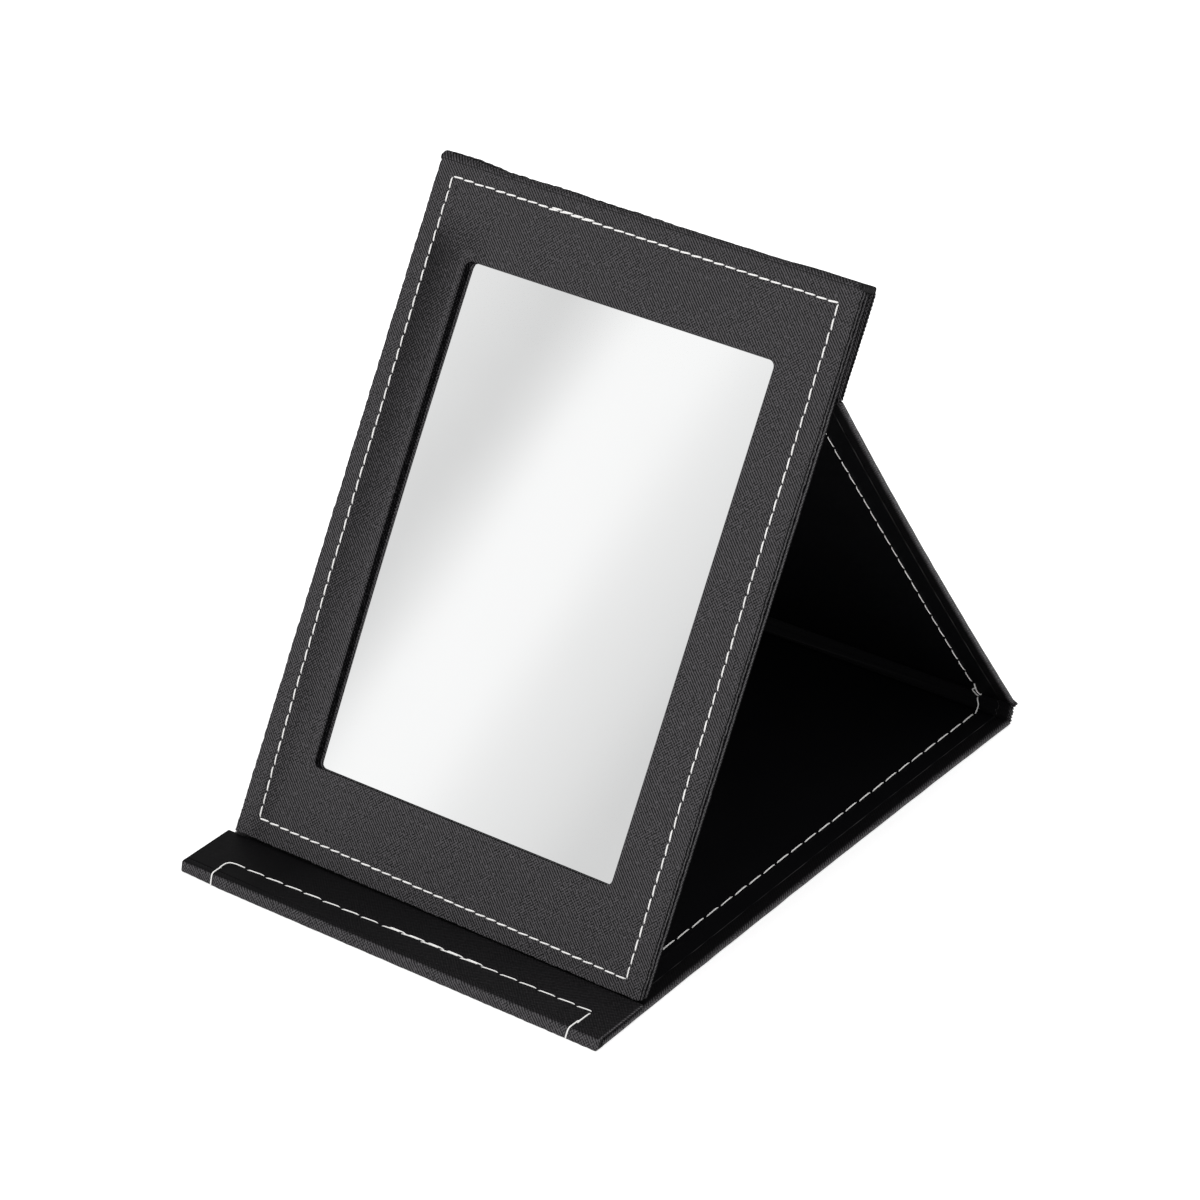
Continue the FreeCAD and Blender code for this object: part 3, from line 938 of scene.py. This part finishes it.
down = face_z - rows[:, 4:5]
print("front frame", points.shape[:2], "rows and columns")

# %% [markdown]
# Then the true rectangles are disturbed, as hand work disturbs them. The window's left wall
# bows and leans, and where it meets the glass a ledge of turned-in sheet shows. The seam strays
# from its line and presses a groove into the face that is deepest where the needle went in. The
# embossing makes the outer edge uneven.

# %% How the seam strays
seam_corners = np.array([[[1.1, 0.75], [0.1, 0.55]], [[0.1, -1.05], [0.05, -0.55]]])
seam_bow = 0.85


def seam_stray(points):
    """How far the seam strays from a true rectangle: its corners' strays, shared out between.

    Its left side also bows outwards, most of all below the middle.
    """
    across = ((points[..., 0] / seam_key[0] + 1) / 2)[..., None]
    along = ((points[..., 1] - seam_key[1]) / (seam_key[2] - seam_key[1]))[..., None]
    low, high = (seam_corners[0, end] * (1 - across) + seam_corners[1, end] * across for end in (0, 1))
    bow = seam_bow * np.sin(np.pi * np.clip(along, 0, 1) ** 0.75) * np.clip(1 - across, 0, 1) ** 4
    return low * (1 - along) + high * along - bow * (1, 0)


# %% Window, seam and edge of the front frame
groove_depth = 0.16
groove_width = 0.42
sag_depth = 0.06
stray_reach = 2.5
wall_bow = 0.62
wall_lean = np.array([1.28, 1.28, 0.62, 0.58, 0.33])
foot_longer = 0.35
foot_slant = 0.14
tooth_height = 0.11
tooth_wave = 1.4
x, y, z = axes_of(points)
share = np.clip((y - window_key[1]) / (window_key[2] - window_key[1]), 0, 1)
bowed = (0.12 - wall_bow * share - wall_bow * np.sin(np.pi * share)) * (1 - ramp(from_window, 0.5, 7.0))
lean = np.append(wall_lean, np.zeros(len(rows) - len(wall_lean)))[:, None]
x += (bowed * ramp(-x, window_key[0] - 6.0, window_key[0])
      + lean * ramp(-x, window_key[0] - window_corner, window_key[0]))
phase = np.where(np.abs(columns[0]) < 1, (columns[0] + 1) / 2 * frame_counts[0],
                 (columns[1] + 1) / 2 * frame_counts[1])
holes = 0.35 + 0.65 * (0.5 + 0.5 * np.cos(2 * np.pi * phase)) ** 3
sag = sag_depth * (1 + ripple(x, y, 46.0, 8)) / 2
dip = groove_depth * hump(from_seam, 0, groove_width) * holes + sag * ramp(np.abs(from_seam), 0.0, 2.0)
z -= (down < 1e-6) * dip
points[..., :2] += seam_stray(points) * hump(from_seam, 0, stray_reach)[..., None]
y -= (foot_longer + foot_slant * x / panel_half) * ramp(seam_key[1] - y, 0.5, 4.0)
perimeter = run_length(points[-8])
teeth = tooth_height * ripple(perimeter, 0, tooth_wave, 12) + 0.05 * ripple(perimeter, 0, 7.0, 13) - 0.06
points = pushed(points, way, ramp(rows[:, 0:1], panel_half - 0.6, panel_half) * teeth)

# %% Grain and painted light of the front frame
# Painted light: the ledge by the glass is painted paler than the face.
ledge_light_level = 2.1
# Painted highlights: a pale line by the window's left rim, and paler rounding on the outer rim.
window_highlight_level = 1.4
outer_rim_highlight = 0.5
# Painted shade on the walls off the face, dark and without sheen, but for a painted highlight along the back of
# the outer wall.
wall_shade_level = 1.25
x, y, _ = axes_of(points)
outside = from_seam > 0
sheet = pushed(points * (1, 1, 0), way, np.where(from_seam < 0, -down, down))
off_face = ramp(down, 0.12, 0.45)
painted_ledge_light = ledge_light_level * ramp(down, -wall_levels[3], -wall_levels[2])
painted_wall_light = np.where(outside, 0.95 * ramp(down, 0.9, 1.15), painted_ledge_light)
at_left = ramp(-x, window_key[0] - window_corner, window_key[0])
window_rim_highlight = window_highlight_level * at_left * hump(from_window, 1.35, 0.4)
painted_rim_light = np.where(outside, outer_rim_highlight * ramp(down, 0.0, 0.05), window_rim_highlight)
# Painted shade on the face's left border, deeper higher up and nearer the outer edge, fading out above the window.
left_border = ramp(-x, 40.0, 48.0) * ramp(x, -60.6, -59.4)
below_top = ramp(window_key[2] + 14.0 - y, 0.0, 14.0)
left_border_shade = (0.16 + 0.32 * share + 0.28 * ramp(-x, 50.0, 58.5)) * left_border * below_top
# Grain 1 on the face, plus painted highlights, less painted shade, and painted light on the walls.
grain_and_painted_light = 1 + (painted_rim_light - left_border_shade) * (1 - off_face) - off_face * (wall_shade_level - painted_wall_light)
lay("frame_front", widened(points), sheet, grain_and_painted_light, "mirror", "grained_skin", "frame_skin", ring=True)

# %% Card inside the front frame
from_opening = 1.4
from_edge = 0.4
card_low, card_high = flat_box("frame_board")
card_levels = np.array([card_low[2], card_high[2]]) - face_z
rows = np.concatenate([grown(window_key, from_opening, card_levels),
                       grown(outer_key, -from_edge, card_levels[::-1])])
points = loop_points(rows, loop_columns(9, 9, corner_points))
lay("frame_card", widened(points), None, 0.0, "mirror", "card", "frame_board", ring=True)

# %% [markdown]
# ## Rear panel and top panel
# Behind the frame lies a second card panel, which holds the glass. Its skin is a shallow tray:
# a back, a low wall and a narrow hem that laps over the card's rim. Above it the cover's last
# panel is bonded to the mirror's back, and its skin runs on over the top edge to the front,
# where it ends just at the face. There the wrap is a separate strip, a little ragged.

# %% Rear tray
tray_sheet = 0.34
back_edge_round = 0.4
hem_round = 0.3
hem_lap = 3.6
tray_corner = 0.8
tray_low, tray_high = flat_box("rear_skin")
tray_key = np.array([tray_high[0], tray_low[1], tray_high[1], tray_corner, 0.0])
rear_z = tray_low[2]
hem_z = tray_high[2] + 0.05
hem_low = tray_high[2] - 0.02
soft = np.linspace(0, np.pi / 2, 5)
rows = np.concatenate([
    grown(tray_key, [-30.0, -8.0, -1.5], rear_z),
    grown(tray_key, back_edge_round * (np.sin(soft) - 1), rear_z + back_edge_round * (1 - np.cos(soft))),
    grown(tray_key, 0.0, np.linspace(rear_z + 0.45, hem_z - 0.35, 8)),
    grown(tray_key, hem_round * (np.cos(soft) - 1), hem_z + hem_round * (np.sin(soft) - 1)),
    grown(tray_key, [-hem_lap, -hem_lap, -0.5], [hem_z, hem_low, hem_low]),
    grown(tray_key, [-0.4, -30.0], rear_z + tray_sheet),
])
level = rows[:, 4:5]
columns = loop_columns(160, 220, 5)
points = loop_points(rows, columns)
wobble = 0.05 * ripple(run_length(points[5]), 0, 5.0, 31) - 0.05
points = pushed(points, columns[2], ramp(rows[:, 0:1], tray_high[0] - 0.6, tray_high[0]) * wobble)
sheet = pushed(points * (1, 1, 0), columns[2], level)
# Painted shade over the tray, dark and without sheen, but for a painted highlight in a band on its wall below the
# hem.
tray_wall_highlight = ramp(level, hem_z - 1.5, hem_z - 1.1) * ramp(-level, 0.25 - hem_z, 0.6 - hem_z)
lay("rear_tray", widened(points), sheet, tray_wall_highlight - 0.2, "mirror", "smooth_lining", "rear_skin",
    finish=skin_finish)

# %% Top panel
top_seam_x = 58.3
rib_pitch = 1.05
rib_depth = 0.09
points, sheet = panel_surface(top_start, top_y, cover_half, 0, cover_thickness, edge_round, top_seam_x,
                              closed_high=True, rows=0.25, seed=41)
x, y, z = axes_of(points)
outwards = np.abs(x) - cover_half
near_top = ramp(y, top_y - 14.0, top_y - 7.0) * ramp(-z, -0.9, -0.5)
# Grain, with painted shade on the side edges, dark and without sheen, and less of it near the top end.
grain_and_painted_light = 1 - (1.2 - 0.9 * near_top) * ramp(outwards, -0.5, -0.15)
ribs = rib_depth * (np.sin(y * 2 * np.pi / rib_pitch) - 1)
x += np.sign(x) * ramp(outwards, -0.6, 0.0) * ribs
lay("top_panel", points, sheet, grain_and_painted_light, "mirror", "grained_skin", "back_top_skin", "back_top_lining")

# %% Wrap over the top edge
wrap_front = face_z + 0.10
wrap_back = 0.55
wrap_foot = -0.1
wrap_columns = 37
wrap_rows = 521
square = 0.4
wrap_rise = 1.15
left_rise = 0.75
right_rise = 0.45
bulge = 0.25
wrap_slant = 0.003
x = np.linspace(-panel_half, panel_half, wrap_rows)[:, None]
rise = (wrap_rise + left_rise * ramp(-x, 43.0, 55.0) + right_rise * ramp(x, 36.0, 52.0)
        + bulge * hump(x, -27, 7) - wrap_slant * x)
steps = np.linspace(-1, 1, wrap_columns)
over = np.pi / 2 * (1 + steps * (2 - np.abs(steps)))
dome = np.sign(np.cos(over)) * np.abs(np.cos(over)) ** square
height = np.abs(np.sin(over)) ** square
rough = 0.04 + 0.10 * ramp(-x, -25.0, 10.0)
ragged = rough * ripple(x, over, 1.3, 44) + 0.05 * ripple(x, over, 6.0, 45)
left_end = ramp(-x, panel_half - 0.9, panel_half) ** 2
right_end_shade = ramp(x, panel_half - 1.6, panel_half - 0.2)
y = top_y + wrap_foot + height * (rise - wrap_foot) + height * (ragged - left_end)
z = (wrap_front + wrap_back) / 2 + dome * (wrap_front - wrap_back) / 2
under = stacked(x, top_y - 0.6, [wrap_back, face_z - 0.2])
points = np.concatenate([stacked(x, y, z), under], axis=1)
sheet = stacked(x, run_length(points[wrap_rows // 2]), 0.0)
spread_back = 1 + np.where(points[..., 0] > 0, 0.008, 0.012) * ramp(-points[..., 2], -4.5, -1.5)
points[..., 0] *= spread_back
# Painted shade on the wrap: darker over the top edge, darkest in a line along its crest, and dark at its right
# end.
wrap_top_shade = ramp(y, top_y + 0.15, top_y + 0.45)
crest_shade = ramp(height, 0.72, 0.88)
grain_and_painted_light = (0.85 - 0.4 * wrap_top_shade) * (1 - 0.8 * right_end_shade) * (1 - 1.3 * crest_shade)
grain_and_painted_light = np.concatenate([grain_and_painted_light, np.zeros((wrap_rows, 2))], axis=1)
lay("top_wrap", widened(points), sheet, grain_and_painted_light, "mirror", "grained_skin")

# %% [markdown]
# ## Stitching
# A stitch is a short run of thread that comes up through one hole and goes down through the
# next. Each is a six-sided tube of seven rings: its middle stands proud, its ends dive into
# the sheet, and it lies slightly across the seam because the machine's thread twists. All the
# stitches of a row are one array, so a row is one object. Seeded jitter keeps them apart.

# %% Thread
ring_sides = 6
ring_turn = 2 * np.pi * np.arange(ring_sides) / ring_sides - np.pi / 2
flattened = 0.85
strand_offset = 1.7


def thread_piece(name, centre, up, radius):
    """Tubes along rows of points: rings across the path, flattened a little against the sheet."""
    tubes, rings = centre.shape[:2]
    forward = np.gradient(centre, axis=1)
    forward /= np.linalg.norm(forward, axis=-1, keepdims=True)
    side = np.cross(forward, np.broadcast_to(up, centre.shape))
    side /= np.linalg.norm(side, axis=-1, keepdims=True)
    top = np.cross(side, forward)
    circle = (side[:, :, None] * np.cos(ring_turn)[:, None]
              + flattened * top[:, :, None] * np.sin(ring_turn)[:, None])
    radius = np.broadcast_to(radius, (tubes, rings))
    points = centre[:, :, None] + circle * radius[..., None, None]
    start = np.arange(tubes) * rings * ring_sides
    faces = (start[:, None, None] + grid_faces(rings, ring_sides)).reshape(-1, 4)
    caps = [cap + first for first in start for cap in end_caps(rings, ring_sides)]
    step = np.linalg.norm(np.diff(centre, axis=1), axis=-1)
    run = np.concatenate([np.zeros((tubes, 1)), np.cumsum(step, axis=1)], axis=1)
    run = run + np.arange(tubes)[:, None] * strand_offset
    sheet = stacked(run[..., None], np.arange(ring_sides) / ring_sides, 0.0)
    return new_piece(name, points, faces, finish_of_slot["white_thread"], caps, sheet)


# %% Stitches
ring_count = 7
cover_thread = 0.38
stitch_lift = 0.10
stitch_sink = 0.34
stitch_slant = 0.11
stitch_stray = 0.035
end_taper = 0.42


def stitch_tubes(starts, ends, up, seed, width):
    """Centre lines and radii of stitches between holes.

    The height over the sheet falls with the sixth power of the distance from the middle, and
    the tube narrows towards its ends in the same way.
    """
    draw = np.random.default_rng(seed)
    share = np.linspace(0, 1, ring_count)
    fall = (2 * share - 1) ** 6
    up = np.broadcast_to(np.asarray(up, float), starts.shape)
    along = ends - starts
    side = np.cross(along / np.linalg.norm(along, axis=-1, keepdims=True), up)
    skew = stitch_slant * draw.uniform(0.5, 1.5, (len(starts), 1))
    stray = draw.normal(0, stitch_stray, (len(starts), 1))
    centre = starts[:, None] + along[:, None] * share[:, None]
    centre = centre + up[:, None] * (stitch_lift - stitch_sink * fall)[:, None]
    centre = centre + side[:, None] * (skew * (1 - 2 * share) + stray)[..., None]
    radius = width / 2 * (1 - end_taper * fall) * draw.uniform(0.92, 1.08, (len(starts), 1))
    return centre, radius


def put_thread(name, centre, up, radius, body, *replaced):
    """Fold rows of thread into place on their body."""
    place = fold(centre, body)
    row = thread_piece(name, place, fold(centre + np.asarray(up, float), body) - place, radius)
    carry(row, body, "white_thread", *replaced)


def sew(name, starts, ends, up, seed, body, *replaced, width=cover_thread):
    """A row of stitches from hole to hole on one body."""
    centre, radius = stitch_tubes(starts, ends, up, seed, width)
    put_thread(name, centre, up, radius, body, *replaced)


# %% Rows of stitches
def even_stitches(first, last, count, share):
    """Start and end of evenly spaced stitches on a straight run, each a share of the pitch."""
    place = np.arange(count)[:, None]
    step = (np.asarray(last, float) - np.asarray(first, float)) / count
    gap = (1 - share) / 2
    return first + step * (place + gap), first + step * (place + 1 - gap)


def along_corners(corners, counts, share):
    """Starts and ends of stitches from corner to corner, with a count for each side."""
    pairs = [even_stitches(*side, share) for side in zip(corners[:-1], corners[1:], counts)]
    return [np.concatenate(holes) for holes in zip(*pairs)]


# %% [markdown]
# ### The frame's seam
# One seam runs round the frame. Its start and end overlap on the top side, so a few stitches
# there are doubled and stand thicker.

# %% Frame seam
above = (0, 0, 1)
beneath = (0, 0, -1)
frame_share = 0.90
double_from = -26
double_to = -14
second_row = (0.9, 0.28, 0.12)
upright_width = 0.84
half, low, high = seam_key[:3]
corners = np.array([[-half, low], [half, low], [half, high], [-half, high], [-half, low]])
holes = along_corners(stacked(*corners.T, face_z), frame_counts * 2, frame_share)
for end in holes:
    end[:, :2] += seam_stray(end)
starts, ends = (widened(end) for end in holes)
doubled = (starts[:, 1] > high - 1.0) & (starts[:, 0] < double_to) & (starts[:, 0] > double_from)
starts, ends = (np.concatenate([end, end[doubled] + second_row]) for end in (starts, ends))
across, along = np.abs(ends - starts).T[:2, :, None]
sew("frame_thread", starts, ends, above, 61, "mirror", "frame_stitching",
    width=thread_width * np.where(along > across, upright_width, 1.0))

# %% [markdown]
# ### Seams of the cover
# Both sides of the cover are sewn with longer stitches. On the base the seam wanders inwards
# towards the front, and it ends under the mirror's foot. The strut's seam shows on both sides
# of the sheet, because a lockstitch does. At the spine one stitch crosses from panel to panel,
# and loose loops lie where the strut's seam begins.

# %% Cover seams
base_seam_slant = 0.0135
strut_sway = 0.25
strut_sway_length = 24.0
base_stop = base_crease[0] - 3.2
strut_low = flat_strut_crease[0] + 6.6
strut_high = flat_mirror_crease[0] - 2.0
outer_low = strut_low - 3.1
inner_share = 0.92
inner_width = 0.8 * cover_thread
spine_x = np.array([57.0, -57.0])
spine_inset = 1.1
spine_narrower = 0.985


def both_sides(path):
    """The path and its mirror image, which runs the same way along the cover."""
    return np.stack([path, path * (-1, 1, 1)])


def side_rows(seam, y0, y1, z, share=0.98):
    """Stitches on both sides of the cover, where seam gives x for a place along it."""
    count = int(round((y1 - y0) / seam_pitch))
    holes = even_stitches((0, y0, z), (0, y1, z), count, share)
    for end in holes:
        end[:, 0] = seam(end[:, 1])
    return [both_sides(end).reshape(-1, 3) for end in holes]


def base_seam(y):
    """The base's seam is furthest out at the spine and comes in towards the front."""
    return base_seam_x - base_seam_slant * (base_crease[0] - y)


def strut_seam(y):
    """The strut's seam follows its drawn-in side, with a slow sway."""
    sway = strut_sway * np.sin(y / strut_sway_length)
    return (strut_seam_x + sway) * drawn_in(y, strut_run, strut_drawn)


base_end = flat_box("base_stitching")[0][1]
sew("base_thread", *side_rows(base_seam, base_end, base_stop, cover_thickness), above, 62,
    "base", "base_stitching")
sew("strut_inner_thread", *side_rows(strut_seam, strut_low, strut_high, cover_thickness, inner_share),
    above, 63, "strut", "strut_stitching", width=inner_width)
sew("strut_outer_thread", *side_rows(strut_seam, outer_low, strut_high, 0.0), beneath, 64, "strut")
sew("spine_outer_thread", stacked(spine_x, base_crease[0] + spine_inset, 0.0),
    stacked(spine_x * spine_narrower, flat_strut_crease[0] - spine_inset, 0.0), beneath, 66,
    "spine", "spine_stitching")


# %% Loose thread at the spine
def smooth_path(knots, count=19):
    """A curve through knots: cubic pieces whose slopes come from the neighbouring knots."""
    knots = np.asarray(knots, float)
    slope = np.gradient(knots, axis=0)
    place = np.linspace(0, len(knots) - 1, count)
    first = np.minimum(place.astype(int), len(knots) - 2)
    t = (place - first)[:, None]
    a, b = knots[first], knots[first + 1]
    return ((2 * t ** 3 - 3 * t ** 2 + 1) * a + (t ** 3 - 2 * t ** 2 + t) * slope[first]
            + (3 * t ** 2 - 2 * t ** 3) * b + (t ** 3 - t ** 2) * slope[first + 1])


on_base = np.array([(57.5, base_crease[0] - 3.0, 1.3), (57.45, base_crease[0] - 2.4, 1.62)])
on_spine = fold(np.array([(56.8, base_crease[0] + 1.4, 1.8), (56.0, flat_strut_crease[0] - 2.2, 1.7),
                          (55.7, flat_strut_crease[0] - 1.6, 1.3)]), "spine")
bridge = both_sides(smooth_path(np.concatenate([on_base, on_spine]), 13))
row = thread_piece("spine_bridge_thread", bridge, (0, -1, 1), cover_thread / 2)
bend_between(row, ("base", "spine"), spine_ends, "white_thread")
first_loop = [(56.1, 6.2, -0.15), (55.9, 4.9, 0.04), (55.6, 3.6, 0.04), (54.5, 2.5, 0.3),
              (55.0, 1.3, 0.5), (55.6, 0.2, 0.55), (56.5, -0.5, 0.35), (56.9, -0.7, -0.1)]
second_loop = [(55.8, 4.1, -0.15), (55.7, 3.4, 0.04), (56.1, 2.1, 0.4), (56.5, 0.9, 0.3),
               (56.6, 0.5, -0.1)]
loops = np.concatenate([both_sides(smooth_path(knots)) for knots in (first_loop, second_loop)])
loops = loops + (0, flat_strut_crease[0], cover_thickness + stitch_lift)
put_thread("strut_loop_thread", loops, above, cover_thread / 2, "strut")

# %% Seam of the top panel
top_share = 0.95
top_low = top_start + 1.5
top_high = top_y - 8.4
corners = np.array([[-top_seam_x, top_low, 0], [-top_seam_x, top_high, 0], [top_seam_x, top_high, 0],
                    [top_seam_x, top_low, 0]])
lengths = np.linalg.norm(np.diff(corners, axis=0), axis=1)
counts = np.maximum(1, np.round(lengths / seam_pitch)).astype(int)
sew("top_panel_thread", *along_corners(corners, counts, top_share), beneath, 67,
    "mirror", "back_top_stitching")

# %% [markdown]
# ### The flap's seam
# On the flap the seam makes a U: across the step a little behind its front edge, round a
# corner at each end, and over the roll. It runs slightly askew, and in its middle the ends of
# the thread overlap in a thick, loose stretch. The runs over the roll follow its curve.

# %% Flap seam
seam_behind = 6.95
seam_skew = 0.0145
seam_start = -51.0
seam_end = 59.0


def on_flap(x, shift):
    """Points on top of the flap along its seam, whose distance from the front grows to the right."""
    return stacked(x, lip_front + seam_behind + seam_skew * (x - seam_start) + shift, flap_top)


left_start = np.arange(7) * 6.22 - 51.1
middle_start = np.arange(5) * 6.2 - 7.0
right_start = np.arange(6) * 5.95 + 24.4
double_start = np.arange(5) * 6.1 - 5.0
run_start = np.concatenate([left_start, middle_start, right_start])
run_end = np.concatenate([left_start + 6.0, middle_start + 6.0, right_start[:-1] + 5.75, [seam_end]])
starts = np.concatenate([on_flap(run_start, -0.08), on_flap(double_start, 0.55),
                         [[seam_end, lip_front + 8.3, flap_top]]])
ends = np.concatenate([on_flap(run_end, 0.12), on_flap(double_start + 5.9, 0.30),
                       [[seam_end - 0.3, lip_front + 2.3, flap_top]]])
centre, radius = stitch_tubes(starts, ends, above, 68, cover_thread)
row = thread_piece("flap_thread", centre, above, radius)
carry(row, "flap", "white_thread", "flap_stitching")

# %% Loose thread and thread over the roll
thread_lift = 0.16
loose = smooth_path([(-57.0, 2.6, -0.1), (-57.05, 4.3, 0.1), (-56.5, 5.9, 0.25), (-54.8, 6.7, 0.2),
                     (-51.9, 7.2, -0.2)]) + (0, lip_front, flap_top + thread_lift)
row = thread_piece("flap_loose_thread", loose[None], above, cover_thread / 2)
carry(row, "flap", "white_thread")


def roll_thread(name, x_top, x_bottom):
    """Thread over the roll: the roll's own path, lifted by the thread's radius."""
    start = [(0.15, 0.3 - roll_radius)]
    finish = [(1.6, roll_radius), (2.0, roll_radius - 0.3)]
    path = np.concatenate([start, roll_path(6)[1:-1], finish])
    lifted = flap_crease + path * (1 + thread_lift / roll_radius)
    centre = lean_out(stacked(np.linspace(x_bottom, x_top, len(path)), *lifted.T))
    outwards = stacked(0.0, np.minimum(path[:, 0], 0), path[:, 1])
    row = thread_piece(name, centre[None], outwards[None], cover_thread / 2)
    bend_between(row, ("base", "flap"), roll_ends, "white_thread")


roll_thread("left_roll_thread", -57.0, -56.7)
roll_thread("right_roll_thread", 58.6, 57.5)

# %% [markdown]
# ## Lights, floor and surroundings
# The product stands on white in a white studio. A black object shows its surroundings more
# than its own colour, so the sky does most of the work: bright overhead, paler to the sides.
# The mirror sees a part of it low at the front left, where upright panels leave one soft
# bright band between two greyer ones. The sky is a colour ramp over the angle to an axis.

# %% Floor
floor_reach = 6.0
finish, tree, shader = new_finish("pale_floor", Roughness=0.9, Specular_IOR_Level=0.1,
                                  Emission_Color=(1, 1, 1, 1), Emission_Strength=0.46)
feed(shader, Base_Color=tint(tree, object_noise(tree, 3.0), (0.74, 0.74, 0.74), (0.76, 0.76, 0.76)))
floor_mesh = bpy.data.meshes.new("floor")
corners = np.array([[-1, -1, 0], [1, -1, 0], [1, 1, 0], [-1, 1, 0]]) * floor_reach
floor_mesh.from_pydata(corners.tolist(), [], [[0, 1, 2, 3]])
floor_mesh.materials.append(finish)
floor = bpy.data.objects.new("floor", floor_mesh)
bpy.context.scene.collection.objects.link(floor)

# %% Sky
band_axis = (0.825, -0.565, -0.011)
band_reach = 0.10
band_levels = [(-0.100, 0.93), (-0.046, 0.79), (-0.029, 0.66), (-0.021, 0.79), (-0.0135, 0.99),
               (0.004, 0.97), (0.015, 0.84), (0.031, 0.76), (0.043, 0.64), (0.070, 0.72), (0.100, 0.93)]
side_level = (0.93, 0.93, 0.93)
zenith_gain = 0.75
world = bpy.data.worlds.new("studio")
world.use_nodes = True
bpy.context.scene.world = world
sky = world.node_tree
direction = add(sky, "ShaderNodeTexCoord").outputs["Generated"]
sockets = {0: direction, 1: band_axis}
along_axis = add(sky, "ShaderNodeVectorMath", sockets, operation="DOT_PRODUCT").outputs["Value"]
bands = add(sky, "ShaderNodeValToRGB", {"Fac": spread(sky, along_axis, -band_reach, band_reach)})
stops = bands.color_ramp.elements
for position, level in band_levels[1:-1]:
    stops.new((position + band_reach) / (2 * band_reach))
for stop, (position, level) in zip(stops, band_levels):
    stop.position = (position + band_reach) / (2 * band_reach)
    stop.color = (level, level, level, 1)
parts = add(sky, "ShaderNodeSeparateXYZ", {0: direction}).outputs
in_front = spread(sky, parts["Y"], -0.4, -0.2, 1.0, 0.0)
feed(sky.nodes["Background"], Color=tint(sky, in_front, side_level, bands.outputs["Color"]),
     Strength=spread(sky, parts["Z"], 0.42, 0.95, 1.0, 1.0 + zenith_gain))
bpy.context.scene.view_settings.view_transform = "Standard"
print("sky bands", len(band_levels), "floor", floor_reach, "m")
